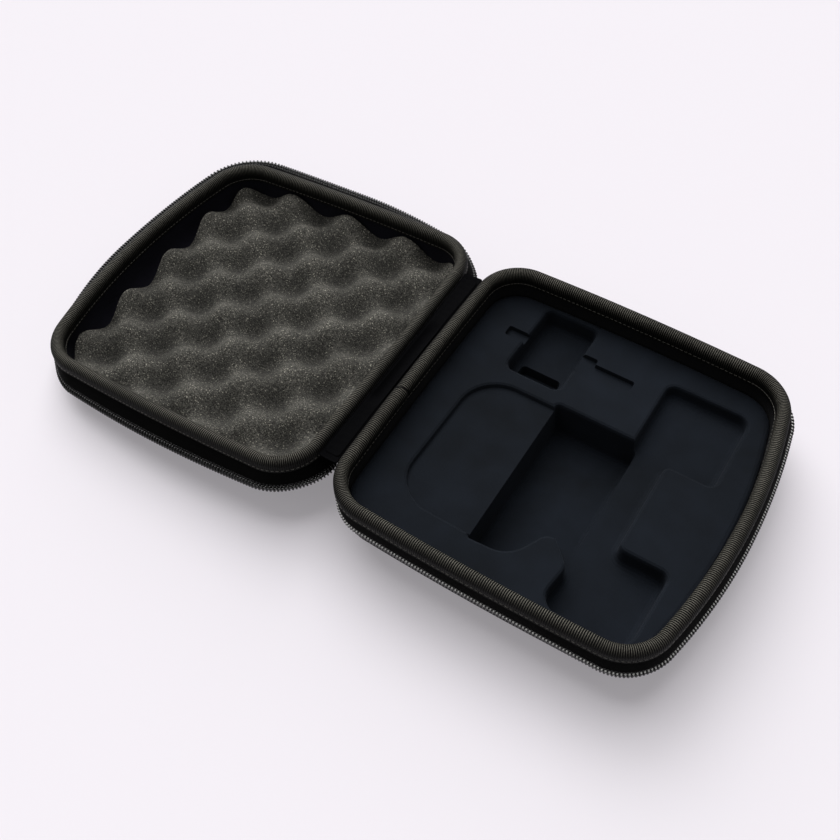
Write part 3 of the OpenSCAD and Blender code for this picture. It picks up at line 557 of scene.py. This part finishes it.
# %% Enamel and grip materials
def enamel_material():
    t = Surface("black enamel")
    peel = t.noise(500.0, 2.0)
    rub = t.noise(180.0, 4.0, 0.7)
    colour = t.mix(t.ramp(rub, 0.58, 0.72), rgb(20, 20, 22), rgb(74, 73, 72))
    return t.finish(Base_Color=colour, Metallic=t.ramp(rub, 0.6, 0.75),
                    Roughness=t.math("MULTIPLY_ADD", peel, 0.2, 0.22), Coat_Weight=0.3,
                    Normal=t.bump(peel, 0.00004, 0.4))


def grip_material():
    t = Surface("pull grip")
    grain = t.noise(1700.0, 2.0, 0.6)
    shade = t.noise(90.0, 2.0)
    colour = t.mix(shade, rgb(20, 20, 21), rgb(38, 38, 40))
    return t.finish(Base_Color=colour, Roughness=t.math("MULTIPLY_ADD", grain, 0.25, 0.5),
                    Normal=t.bump(grain, 0.00006, 0.6))


black_enamel, pull_grip = enamel_material(), grip_material()
print("made", black_enamel.name, "and", pull_grip.name)

# %% Materials on the CAD pieces
CAD_MATERIALS = {
    "base_shell": shell_cloth, "lid_shell": shell_cloth, "base_lining": black_lining,
    "lid_lining": navy_lining, "reel_tray": tray_flock,
    "base_zip_coil": zip_nylon, "lid_zip_coil": zip_nylon,
}
for side in ("front", "rear"):
    CAD_MATERIALS.update({
        side + "_zip_end": zip_nylon, side + "_zip_stop": black_enamel,
        side + "_slider": black_enamel, side + "_pull_tab": black_enamel,
        side + "_pull_grip": pull_grip})
for name, material in CAD_MATERIALS.items():
    NODES[name].data.materials.clear()
    NODES[name].data.materials.append(material)
print("materials on", len(CAD_MATERIALS), "CAD nodes")

# %% [markdown]
# ## Ribbon binding
#
# A grosgrain ribbon is folded over the shell's edge and sewn through. In the
# CAD it is a plain solid ring; here it is swept again with a slightly pinched
# section, because the seam pulls the ribbon in above its two lower edges, and
# the ribbon's own ribs need a coordinate that runs round the rim. Modelling
# every rib would cost a million faces for ripples 1.27 mm apart, so the ribs
# are in the material and only the section is geometry.

# %% Binding
BIND_T, BIND_OUT_H, BIND_IN_H, LEG_T, LEG_MIDDLE = 8.0, 8.0, 10.0, 1.7, 0.9
OUTER_SEAM_Z, INNER_SEAM_Z = -6.6, -8.6
PINCH_OUT, PINCH_IN, PINCH_HEIGHT = 0.28, 0.3, 0.7


def binding_section():
    """Points (outward, up) round the ribbon, from the outer foot to the inner
    one and back inside the fold."""
    pts = []
    for z in np.linspace(-BIND_OUT_H, -BIND_T / 2, 9)[:-1]:
        pts.append((-PINCH_OUT * math.exp(-((z - OUTER_SEAM_Z) / PINCH_HEIGHT) ** 2), z))
    for a in np.linspace(0, pi, 25):
        pts.append((BIND_T / 2 * (math.cos(a) - 1), BIND_T / 2 * (math.sin(a) - 1)))
    for z in np.linspace(-BIND_T / 2, -BIND_IN_H, 12)[1:]:
        pts.append((-BIND_T + PINCH_IN * math.exp(-((z - INNER_SEAM_Z) / PINCH_HEIGHT) ** 2), z))
    pts += [(-BIND_T + LEG_MIDDLE, -BIND_IN_H), (-BIND_T + LEG_T, -BIND_IN_H),
            (-BIND_T + LEG_T, -BIND_T / 2), (-LEG_T, -BIND_T / 2),
            (-LEG_T, -BIND_OUT_H), (-LEG_MIDDLE, -BIND_OUT_H)]
    return np.array(pts)


section = binding_section()
print("ribbon section:", len(section), "points")

# %% Sweep round the rim
SWELL, SWELL_RUN, SWELL_FOOT_Z, SWELL_OUT = 0.6, 16, -7.5, 0.25
RIPPLE, RIPPLE_SEED, RIPPLES_PER_ROUND = 0.05, 3, range(3, 30)
NO_LAP = 9e9


def swept(section, ring, lap):
    """A grid of points: the section (outward, up) carried round the stations,
    swelling where the ribbon's two ends lap over each other."""
    rng = np.random.default_rng(RIPPLE_SEED)
    n = len(ring)
    turn = 2 * pi * np.arange(n) / n
    ripple = RIPPLE * sum(
        rng.normal() * np.cos(k * turn + rng.uniform(0, 2 * pi)) / k for k in RIPPLES_PER_ROUND)
    past = ring[:, 4:5] - lap
    swell = np.where(past > 0, SWELL * np.exp(-np.abs(past) / SWELL_RUN), 0.0)
    away = section + BIND_T / 2
    away = away / np.linalg.norm(away, axis=1, keepdims=True) * (section[:, 1:] > SWELL_FOOT_Z)
    away[:, 0] *= np.where(away[:, 0] > 0, SWELL_OUT, 1.0)
    away[:, 1] *= SWELL_OUT
    out = section[None, :, 0] + swell * away[None, :, 0]
    z = section[None, :, 1] + ripple[:, None] + swell * away[None, :, 1]
    return np.stack([ring[:, 0:1] + ring[:, 2:3] * out, ring[:, 1:2] + ring[:, 3:4] * out, z],
                    axis=-1)


def run_uv(section, ring, start):
    """Millimetres run round the ring, and across the section from its first point."""
    across = np.concatenate([[0], np.cumsum(np.linalg.norm(np.diff(section, axis=0), axis=1))])
    uv = np.zeros((len(ring), len(section), 2))
    uv[:, :, 0] = ring[:, 4:5] + start
    uv[:, :, 1] = across[None, :]
    return uv


# The lid's lap lies out of sight, so its ribbon has none and its run starts
# far from the base's lap line.
LAPS = {"base": (LAP_RUN, 0), "lid": (NO_LAP, 9000)}
for half, place in HALVES.items():
    lap, start = LAPS[half]
    ob = grid_mesh(half + "_ribbon", swept(section, RING, lap), place,
                   run_uv(section, RING, start), wrap_u=True, wrap_v=True)
    finish_piece(ob, binding_ribbon, "binding", half, [half + "_binding"])

# %% [markdown]
# ## Zip tapes
#
# Each tape is sewn under the ribbon's outer foot and stands out from the case
# because its coil holds it in a stiff curve: it hangs almost straight down at
# the front and flares nearly level behind the lid. The table gives its angle
# below level at each corner and side, read off the photograph. A cloth
# simulation would have to guess the coil's stiffness to come to the same shape.
# The tape is curved across its width, so it is not a flat band.

# %% The tape's angle and width
TAPE_T, TAPE_REACH, TAPE_SAG, END_REACH, TAPE_END_Y = 0.7, 12.3, 0.35, 3.6, 67.0
COIL_R, COIL_GAP = 1.05, 0.1
TAPE_ROOT = (-1.1, -8.25 - TAPE_T / 2)
TAPE_WEAVE_W, BACK_FACE_V = 11.0, 30
KEYS, TAPER_KEYS = 8, 0.5  # four sides and four corners; half the hinge side
FLARE = {"base": [62, 94, 91, 82, 75, 60, 78, 84, 62], "lid": [50, 78, 57, 80, 18, 5, 12, 66, 50]}
PATH, PATH_LENGTH = stations(1.0, TAPE_END_Y)


def ease(f):
    """From 0 to 1 with a soft start and end."""
    return (1 - np.cos(pi * f)) / 2


def flare_and_reach(half, key):
    """The tape's angle below level and its width, which shrinks towards the spine."""
    table = np.array(FLARE[half], float)
    i = np.minimum(np.floor(key).astype(int), KEYS - 1)
    f = ease(key - i)
    angle = np.radians(table[i] * (1 - f) + table[i + 1] * f)
    near = np.minimum(np.minimum(key, KEYS - key) / TAPER_KEYS, 1)
    return angle, END_REACH + (TAPE_REACH - END_REACH) * ease(near)


def tape_point(half, rows, s, q):
    """A point at distance s along the tape and q off its face, for each station."""
    angle, _ = flare_and_reach(half, rows[:, 5])
    out = TAPE_ROOT[0] + s * np.cos(angle) + q * np.sin(angle)
    z = TAPE_ROOT[1] - s * np.sin(angle) + q * np.cos(angle)
    return np.stack([rows[:, 0] + rows[:, 2] * out, rows[:, 1] + rows[:, 3] * out, z], axis=-1)


print("tape:", round(PATH_LENGTH, 1), "mm long,", len(PATH), "stations")

# %% Tapes
def zip_tape_grid(half):
    """Points and coordinates of both faces of a tape, from the seam to the coil."""
    _, reach = flare_and_reach(half, PATH[:, 5])
    reach = reach - COIL_R - COIL_GAP
    steps = np.linspace(0, 1, 9)
    loop = [(f, 0.5) for f in steps] + [(f, -0.5) for f in steps[::-1]]
    grid = np.stack([tape_point(half, PATH, reach * f, TAPE_T * side + TAPE_SAG * math.sin(pi * f))
                     for f, side in loop], axis=1)
    uv = np.zeros(grid.shape[:2] + (2,))
    uv[:, :, 0] = PATH[:, 4:5]
    uv[:, :, 1] = [f * TAPE_WEAVE_W + (0 if side > 0 else BACK_FACE_V) for f, side in loop]
    return grid, uv


for half, place in HALVES.items():
    grid, uv = zip_tape_grid(half)
    ob = grid_mesh(half + "_tape", grid, place, uv, wrap_v=True)
    finish_piece(ob, zip_tape, "zip_tape", half, [half + "_zip_tape"])

# %% [markdown]
# ## Repeated details by Geometry Nodes
#
# The coil's turns and the sewing thread's stitches repeat hundreds of times
# along a path. Each is one small shape put on a row of points by a Geometry
# Nodes group, with the turn of each point stored on it, so the pitch and the
# wire's thickness stay named inputs that can be changed in one place.

# %% Node group helper
class PointGroup(Tree):
    """A Geometry Nodes group that sets one shape on every point it is given."""

    def __init__(self, name, sizes):
        group = bpy.data.node_groups.new(name, "GeometryNodeTree")
        super().__init__(group)
        new_socket = group.interface.new_socket
        new_socket("Geometry", in_out="OUTPUT", socket_type="NodeSocketGeometry")
        new_socket("Geometry", in_out="INPUT", socket_type="NodeSocketGeometry")
        for key, value in sizes.items():
            new_socket(key, in_out="INPUT", socket_type="NodeSocketFloat").default_value = value
        new_socket("Material", in_out="INPUT", socket_type="NodeSocketMaterial")
        self.given = self.add("NodeGroupInput").outputs

    def finish(self, shape):
        """Turns the shape as each point says, makes it real and paints it."""
        turn = self.add("GeometryNodeInputNamedAttribute", {"Name": "turn"},
                        data_type="FLOAT_VECTOR")
        rotation = self.add("FunctionNodeEulerToRotation", {0: turn.outputs["Attribute"]})
        on = self.add("GeometryNodeInstanceOnPoints", {
            "Points": self.given["Geometry"], "Instance": shape, "Rotation": rotation.outputs[0]})
        real = self.add("GeometryNodeRealizeInstances", {"Geometry": on.outputs["Instances"]})
        smooth = self.add("GeometryNodeSetShadeSmooth", {"Geometry": real.outputs["Geometry"]})
        paint = self.add("GeometryNodeSetMaterial", {
            "Geometry": smooth.outputs["Geometry"], "Material": self.given["Material"]})
        self.add("NodeGroupOutput", {"Geometry": paint.outputs["Geometry"]})
        return self.tree


print("helper ready:", PointGroup.__name__)

# %% One turn of wire
def loop_group():
    """One turn of nylon wire: an oval ring seen end on, which stores how far
    across the coil each of its points lies."""
    g = PointGroup("coil turns", {
        "Half Width": 0.0015, "Half Height": 0.0012, "Wire Radius": 0.0004, "Painted Highlight": 1.0})
    circle = "GeometryNodeCurvePrimitiveCircle"
    ring = g.add(circle, {"Resolution": 12, "Radius": 1.0})
    oval = g.add("ShaderNodeCombineXYZ", {
        0: g.given["Half Width"], 1: g.given["Half Height"], 2: 1.0})
    shape = g.add("GeometryNodeTransform", {
        "Geometry": ring.outputs["Curve"], "Scale": oval.outputs[0]})
    wire = g.add(circle, {"Resolution": 6, "Radius": g.given["Wire Radius"]})
    body = g.add("GeometryNodeCurveToMesh", {
        "Curve": shape.outputs["Geometry"], "Profile Curve": wire.outputs["Curve"]})
    at = g.add("GeometryNodeInputPosition").outputs[0]
    x = g.add("ShaderNodeSeparateXYZ", {0: at}).outputs[0]
    # How far across the coil, times the strength of the painted highlight in the inner bend.
    bend = g.math("MULTIPLY", g.math("DIVIDE", x, g.given["Half Width"]), g.given["Painted Highlight"])
    keep = g.add("GeometryNodeStoreNamedAttribute", {
        "Geometry": body.outputs["Mesh"], "Name": "bend", "Value": bend})
    return g.finish(keep.outputs["Geometry"])


COIL_TURNS = loop_group()
print("inputs of the coil:", [i.name for i in COIL_TURNS.interface.items_tree][2:])

# %% One stitch
def stitch_group():
    """One stitch: a short rounded length of thread."""
    g = PointGroup("stitches", {"Half Length": 0.0013, "Thread Radius": 0.00025})
    ball = g.add("GeometryNodeMeshUVSphere", {"Segments": 7, "Rings": 5, "Radius": 1.0})
    radius = g.given["Thread Radius"]
    size = g.add("ShaderNodeCombineXYZ", {0: radius, 1: radius, 2: g.given["Half Length"]})
    shape = g.add("GeometryNodeTransform", {
        "Geometry": ball.outputs["Mesh"], "Scale": size.outputs[0]})
    return g.finish(shape.outputs["Geometry"])


STITCHES = stitch_group()
print("inputs of the stitch:", [i.name for i in STITCHES.interface.items_tree][2:])

# %% Repeating along a row of points
def repeat(name, group, points, frames, inputs, material, slot, body):
    """Applies the group on a row of points (metres) with a 3x3 frame at each."""
    mesh = bpy.data.meshes.new(name + " points")
    mesh.from_pydata([tuple(p) for p in points], [], [])
    turn = mesh.attributes.new("turn", "FLOAT_VECTOR", "POINT")
    eulers = [Matrix(f.tolist()).to_euler("XYZ")[:] for f in frames]
    turn.data.foreach_set("vector", np.array(eulers, np.float32).ravel())
    ob = add_object(name, mesh)
    modifier = ob.modifiers.new("repeat", "NODES")
    modifier.node_group = group
    ids = {i.name: i.identifier for i in group.interface.items_tree if i.in_out == "INPUT"}
    for key, value in {**inputs, "Material": material}.items():
        modifier[ids[key]] = value
    bpy.context.view_layer.update()
    made = bpy.data.meshes.new_from_object(ob.evaluated_get(bpy.context.evaluated_depsgraph_get()))
    ob.modifiers.clear()
    ob.data = made
    return finish_piece(ob, material, slot, body)


print("helper ready:", repeat.__name__)

# %% [markdown]
# ## Coil teeth
#
# Number 8 coil chain: one turn of nylon wire every 1.93 mm, wound round the
# thin cord that the CAD carries. Each turn leans a little along the run, as
# the winding does, which is what makes the highlights read as separate beads.
# Bumps on a plain cord would be lighter, but its edge against the floor would
# stay straight where the photograph shows a row of separate turns.

# %% Helpers for rows of points
def along(rows, pitch, offset=0.0):
    """Stations resampled at an even pitch along their run."""
    s = np.arange(offset, rows[-1, 4], pitch)
    out = np.stack([np.interp(s, rows[:, 4], rows[:, c]) for c in range(6)], axis=1)
    out[:, 2:4] /= np.linalg.norm(out[:, 2:4], axis=1, keepdims=True)
    return out


def unit(v):
    """Rows of length 1."""
    return v / np.linalg.norm(v, axis=1, keepdims=True)


def square_to(axis, v):
    """What is left of v across the axis, at length 1."""
    return unit(v - axis * np.sum(axis * v, axis=1, keepdims=True))


def frames_from(x, z):
    """A 3x3 frame for each row, from its first and last axis."""
    return np.stack([x, np.cross(z, x), z], axis=2)


TOOTH_PITCH, FIRST_TOOTH = 1.93, 1.0
print("teeth on a coil:", len(along(PATH, TOOTH_PITCH, FIRST_TOOTH)))

# %% Coil teeth
TOOTH_LEAN, TOOTH_LEAD, LOOK_AHEAD = math.radians(12), 1.0, 0.05
TOOTH = {"Half Width": 0.00165, "Half Height": 0.00125, "Wire Radius": 0.00054}
# Strength of the painted highlight on each half's coil.
PAINTED_HIGHLIGHT = {"base": 1.0, "lid": 0.6}


def coil_teeth(half, place):
    rows = along(PATH, TOOTH_PITCH, FIRST_TOOTH)
    _, reach = flare_and_reach(half, rows[:, 5])
    at = placed(tape_point(half, rows, reach, 0.0), place)
    outer = placed(tape_point(half, rows, reach + TOOTH_LEAD, 0.0), place)
    ahead = along(PATH, TOOTH_PITCH, FIRST_TOOTH + LOOK_AHEAD)[:len(rows)]
    ahead = np.vstack([ahead, rows[len(ahead):]])
    step = placed(tape_point(half, ahead, reach, 0.0), place) - at
    step[np.linalg.norm(step, axis=1) < 1e-9] = step[0]
    x = unit(outer - at)
    z = square_to(x, unit(step))
    z = z * math.cos(TOOTH_LEAN) + x * math.sin(TOOTH_LEAN)
    return repeat(half + "_coil_teeth", COIL_TURNS, at, frames_from(square_to(z, x), z),
                  {**TOOTH, "Painted Highlight": PAINTED_HIGHLIGHT[half]}, zip_nylon, "zip_coil", half)


for half, place in HALVES.items():
    coil_teeth(half, place)

# %% [markdown]
# ## Stitches
#
# One seam runs through the ribbon just above its lower edges, seen on both
# faces, and two more hold the coil to its tape. A dashed line in the material
# would do from afar, but stitches that stand up catch the light one by one.

# %% Stitches
RIM_STITCH = {"pitch": 2.9, "length": 2.2, "radius": 0.26}
COIL_STITCH = {"pitch": TOOTH_PITCH, "length": 1.7, "radius": 0.2}
SEAM_SINK, FIRST_COIL_STITCH, COIL_SEAMS, COIL_SEAM_UP = 0.2, 0.4, (2.1, 3.1), 0.3


def seam(name, points, place, stitch, body, material):
    """A row of stitches at these points, each along the run."""
    at = placed(points, place)
    z = unit(np.gradient(at, axis=0))
    x = square_to(z, np.tile([0.0, 0.0, 1.0], (len(at), 1)))
    sizes = {"Half Length": stitch["length"] / 2000, "Thread Radius": stitch["radius"] / 1000}
    return repeat(name, STITCHES, at, frames_from(x, z), sizes, material, "binding", body)


def on_ring(rows, out, z):
    """Points this far outward from the outline, at this height."""
    return np.stack([rows[:, 0] + rows[:, 2] * out, rows[:, 1] + rows[:, 3] * out,
                     np.full(len(rows), z)], axis=-1)


for half, place in HALVES.items():
    rows = along(RING, RIM_STITCH["pitch"])
    for face, out, z in (("outer", -SEAM_SINK, OUTER_SEAM_Z),
                         ("inner", -BIND_T + SEAM_SINK, INNER_SEAM_Z)):
        seam(f"{half}_{face}_seam", on_ring(rows, out, z), place, RIM_STITCH, half, sewing_thread)
    rows = along(PATH, COIL_STITCH["pitch"], FIRST_COIL_STITCH)
    _, reach = flare_and_reach(half, rows[:, 5])
    for i, back_off in enumerate(COIL_SEAMS):
        points = tape_point(half, rows, reach - back_off, TAPE_T / 2 + COIL_SEAM_UP)
        seam(f"{half}_coil_seam_{i}", points, place, COIL_STITCH, half, zip_nylon)

# %% [markdown]
# ## Foam pad
#
# Convoluted foam is cut by squeezing a slab between two studded rollers, so
# its tops and troughs stand in staggered rows like an egg tray. The CAD has
# the same waves on a coarse grid; here the grid is fine enough for the tops to
# look round, and the cut's small unevenness is added from smooth noise. A
# displacement modifier could do this, but a grid from a formula also tells the
# material how high each point lies.

# %% The foam's outline and waves
FOAM_X1, FOAM_X2, FOAM_HALF_L, FOAM_CORNER = 9.7, 190.0, 93.9, 20.0
LID_FLOOR, LID_ROUND = -31.0, 18.0
WAVE_X, WAVE_Y, WAVE_H, WAVE_DROP = 45.6, 41.6, 12.4, 18.8
PHASE_X, PHASE_Y, FOAM_LIFT, LIFT_W = -3.5, 9.0, 2.5, 16.0
END_FOLLOW = 0.8


def foam_half(x):
    """Half the pad's length along the hinge at x, with rounded corners."""
    e = np.minimum(x - FOAM_X1, FOAM_X2 - x)
    c = FOAM_CORNER - np.maximum(FOAM_CORNER - e, 0)
    rounded = FOAM_HALF_L - FOAM_CORNER + np.sqrt(
        np.maximum(FOAM_CORNER ** 2 - (FOAM_CORNER - c) ** 2, 0))
    return rounded + END_BOW * (1 - ((2 * x - WIDTH) / WIDTH) ** 2) * END_FOLLOW


def foam_top(x, y):
    """Height of the waves, which rise a little where the lid pushes the rim up."""
    edge = np.maximum(np.minimum(np.minimum(x - FOAM_X1, FOAM_X2 - x), foam_half(x) - np.abs(y)), 0)
    rise = FOAM_LIFT * np.maximum(1 - edge / LIFT_W, 0) ** 2
    across = np.cos(2 * pi * (x - WIDTH / 2 - PHASE_X) / WAVE_X)
    wave = across * np.cos(2 * pi * (y - PHASE_Y) / WAVE_Y)
    return rise - WAVE_DROP + WAVE_H / 2 * wave


print("waves along the foam:", round((FOAM_X2 - FOAM_X1) / WAVE_X, 1))

# %% Uneven cut and spacing
FINER_SHARE = 0.25


def smooth_noise(x, y, seed, size, octaves=4, waves=5):
    """A sum of waves in random directions, each octave half as long and high."""
    rng = np.random.default_rng(seed)
    total = np.zeros_like(x)
    for k in range(octaves):
        for _ in range(waves):
            a, b = rng.uniform(0, 2 * pi, 2)
            w = 2 * pi * 2 ** k / size
            total += np.sin(w * (x * math.cos(a) + y * math.sin(a)) + b) / 2 ** k
    return total / waves


def finer_at_the_ends(n):
    """From 0 to 1 in n steps, a little closer to each other near both ends."""
    f = np.linspace(0, 1, n)
    return FINER_SHARE * ease(f) + (1 - FINER_SHARE) * f


print("steps at a foam's end and middle:", np.diff(finer_at_the_ends(9))[[0, 4]].round(3))

# %% Foam
UNEVEN, UNEVEN_SEED, UNEVEN_SIZE = 0.35, 5, 30
# height, and how far in from the rim, of the rounded underside
FOAM_FOOT = ((LID_FLOOR + LID_ROUND * 0.42, 0.8), (LID_FLOOR + 3, 5.0), (LID_FLOOR, 14.4))


def foam_pad():
    """The waved top as a grid, closed by a rounded underside."""
    n, m = ((170, 180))
    f, g = finer_at_the_ends(n), finer_at_the_ends(m)
    x = (FOAM_X1 + (FOAM_X2 - FOAM_X1) * f)[:, None] + np.zeros((1, m))
    y = foam_half(x) * (2 * g[None, :] - 1)
    z = foam_top(x, y) + UNEVEN * smooth_noise(x, y, UNEVEN_SEED, UNEVEN_SIZE)
    top = np.stack([x, y, z], axis=-1)
    rim = [(i, 0) for i in range(n - 1)] + [(n - 1, j) for j in range(m - 1)] + [
        (i, m - 1) for i in range(n - 1, 0, -1)] + [(0, j) for j in range(m - 1, 0, -1)]
    verts = top.reshape(-1, 3).tolist()
    faces = [[i * m + j, (i + 1) * m + j, (i + 1) * m + j + 1, i * m + j + 1]
             for i in range(n - 1) for j in range(m - 1)]
    centre = np.array([(FOAM_X1 + FOAM_X2) / 2, 0.0])
    rows = [[i * m + j for i, j in rim]]
    for z2, d in FOAM_FOOT:
        row = []
        for i, j in rim:
            p = top[i, j, :2]
            q = p + (centre - p) * np.array([d / (FOAM_X2 - FOAM_X1) * 2, d / FOAM_HALF_L])
            row.append(len(verts))
            verts.append([q[0], q[1], z2])
        rows.append(row)
    k = len(rim)
    for a, b in zip(rows, rows[1:]):
        faces += [[a[i], b[i], b[(i + 1) % k], a[(i + 1) % k]] for i in range(k)]
    verts.append([centre[0], centre[1], LID_FLOOR])
    faces += [[rows[-1][(i + 1) % k], rows[-1][i], len(verts) - 1] for i in range(k)]
    mesh = bpy.data.meshes.new("wave_foam")
    mesh.from_pydata([tuple(v) for v in placed(verts, TO_LID)], [], [list(q)[::-1] for q in faces])
    mesh.polygons.foreach_set("use_smooth", [True] * len(mesh.polygons))
    wave = np.full(len(verts), -1.0)
    wave[:n * m] = ((z + WAVE_DROP) / (WAVE_H / 2)).ravel()
    mesh.attributes.new("wave", "FLOAT", "POINT").data.foreach_set("value", wave.astype(np.float32))
    return add_object("wave_foam", mesh)


foam = finish_piece(foam_pad(), foam_cells, "foam", "lid", ["lid_foam"])

# %% [markdown]
# ## Spine
#
# The two halves are joined by a strip of webbing with a cloth lining over it.
# Both sag between their seams, which is what makes the gap between the rims
# read as a soft channel and not as a plate. Over the zip's parked ends, which
# are sewn close below, they stay nearly flat. Towards its ends the webbing
# widens with the rims, which round away from it, and its corners are rounded.
# A flat plane with a bump would be lighter, but its sag would not hold shadow.

# %% Spine
SAG_END, SAG_EASE, SAG_POWER, CORNER_R = 38.0, 12, 0.8, 1.8
PUCKER, PUCKER_TURN = 0.08, 1.3  # height, and radians of its wave in a millimetre
RIM_TURN = RING[RING[:, 5] < 2]
WEB = {"x1": -SPINE_W - 0.8, "x2": 0.8, "half_l": 80, "z": 0.0,
       "thick": 0.66, "dip": 0.25, "sag": 2.6}
CLOTH = {"x1": -SPINE_W + 0.3, "x2": -0.3, "half_l": 76, "z": 0.55,
         "thick": 0.28, "dip": 0.28, "sag": 2.63}


def spine_piece(name, slot, replaces, x1, x2, half_l, z, thick, dip, sag):
    """A strip from x1 to x2 across the gap, which dips by so much at its ends
    and sags by so much in its middle."""
    n, m = 200, 12
    y = half_l * np.sin(np.linspace(-pi / 2, pi / 2, n))
    away = np.interp(np.abs(y), -RIM_TURN[:, 1], RIM_TURN[:, 0])
    late = np.clip((np.abs(y) - half_l + CORNER_R) / CORNER_R, 0, 1)
    wider = away - CORNER_R * (1 - np.sqrt(1 - late ** 2))
    drop = dip + (sag - dip) * ease(np.clip((SAG_END - np.abs(y)) / SAG_EASE, 0, 1))
    steps = np.linspace(0, 1, m)
    loop = [(v, 0.5) for v in steps] + [(v, -0.5) for v in steps[::-1]]
    grid = np.zeros((n, len(loop), 3))
    uv = np.zeros((n, len(loop), 2))
    for j, (v, side) in enumerate(loop):
        pucker = PUCKER * np.sin(y * PUCKER_TURN) * math.sin(pi * v)
        grid[:, j, 0] = x1 + (x2 - x1) * v + wider * (2 * v - 1)
        grid[:, j, 1] = y
        grid[:, j, 2] = z - drop * math.sin(pi * v) ** SAG_POWER + pucker + side * thick
        uv[:, j, 0] = y
        uv[:, j, 1] = v * (x2 - x1) + (0 if side > 0 else BACK_FACE_V)
    ob = grid_mesh(name, grid, TO_SPINE, uv, wrap_v=True)
    finish_piece(ob, spine_web, slot, "spine", [replaces])


spine_piece("spine_web", "spine_webbing", "spine_strip", **WEB)
spine_piece("spine_cloth", "navy_lining", "spine_lining", **CLOTH)

# %% [markdown]
# ## Floor
#
# The photograph was taken on a seamless pale ground. A shadow catcher could
# stand in for it, but needs compositing. So it is a real plane, of which a
# quarter of the brightness is a glow that only the camera and reflections see:
# that keeps the shadow as pale as the photograph's. Towards the case the
# ground is a plain middle grey.

# %% Floor
GLOW_SHARE, GROUND_SIZE = 0.25, 9
GROUND_TINTS = (0.772, 0.738, 0.782, 1), (0.782, 0.748, 0.792, 1)
GROUND_TO_CASE, GROUND_GLOW = (0.42, 0.42, 0.42, 1), (0.955, 0.915, 0.965, 1)


def ground_material():
    """A pale ground for the camera and reflections, plain grey for other light."""
    t = Surface("pale ground")
    colour = t.mix(t.noise(1.2, 2.0), *GROUND_TINTS)
    ray = t.add("ShaderNodeLightPath").outputs
    seen = t.math("MAXIMUM", ray["Is Camera Ray"], t.math(
        "MAXIMUM", ray["Is Glossy Ray"], ray["Is Transmission Ray"]))
    colour = t.mix(seen, GROUND_TO_CASE, colour)
    glow = t.add("ShaderNodeEmission", {"Color": GROUND_GLOW, "Strength": 1.0})
    both = t.add("ShaderNodeMixShader", {
        0: t.math("MULTIPLY", seen, GLOW_SHARE), 1: t.shader.outputs[0], 2: glow.outputs[0]})
    t.put(t.tree.nodes["Material Output"].inputs["Surface"], both.outputs[0])
    return t.finish(Base_Color=colour, Roughness=1.0, Specular_IOR_Level=0.0)


bpy.ops.mesh.primitive_plane_add(size=GROUND_SIZE, location=(0, 0, 0))
floor = bpy.context.object
floor.name = "ground"
floor.data.materials.append(ground_material())
print("ground:", GROUND_SIZE, "m wide")

# %% [markdown]
# ## Light
#
# A wide soft light stood above and behind the case: the faces towards the
# camera are dark and the shadow falls to the front. Area lamps close by would
# light the near half more than the far one, so two suns with wide angles stand
# in for the soft boxes, and a weak even sky fills the rest. The camera sees a
# paler backdrop in place of that sky.

# %% World
SKY_STRENGTH, BACKDROP = 0.25, (0.94, 0.90, 0.95, 1)
world = bpy.data.worlds.new("studio")
bpy.context.scene.world = world
world.use_nodes = True
sky = Tree(world.node_tree)
fill = sky.tree.nodes["Background"]
sky.put(fill.inputs["Color"], (1, 1, 1, 1))
sky.put(fill.inputs["Strength"], SKY_STRENGTH)
backdrop = sky.add("ShaderNodeBackground", {"Color": BACKDROP, "Strength": 1.0})
to_camera = sky.add("ShaderNodeLightPath").outputs["Is Camera Ray"]
either = sky.add("ShaderNodeMixShader", {
    0: to_camera, 1: fill.outputs[0], 2: backdrop.outputs[0]})
sky.put(sky.tree.nodes["World Output"].inputs["Surface"], either.outputs[0])
print("sky at", SKY_STRENGTH, "of full strength")

# %% Lamps
def soft_sun(name, direction, angle, strength):
    """A wide, far lamp: as even over the ground as a big soft box close by."""
    data = bpy.data.lights.new(name, "SUN")
    data.energy, data.angle = strength, math.radians(angle)
    ob = add_object(name, data)
    ob.location = direction
    ob.rotation_euler = Vector(direction).to_track_quat("Z", "Y").to_euler()


soft_sun("key", (-0.52, 0.46, 1.25), 60, 2.50)
soft_sun("low back light", (-0.75, 0.80, 0.62), 55, 1.58)
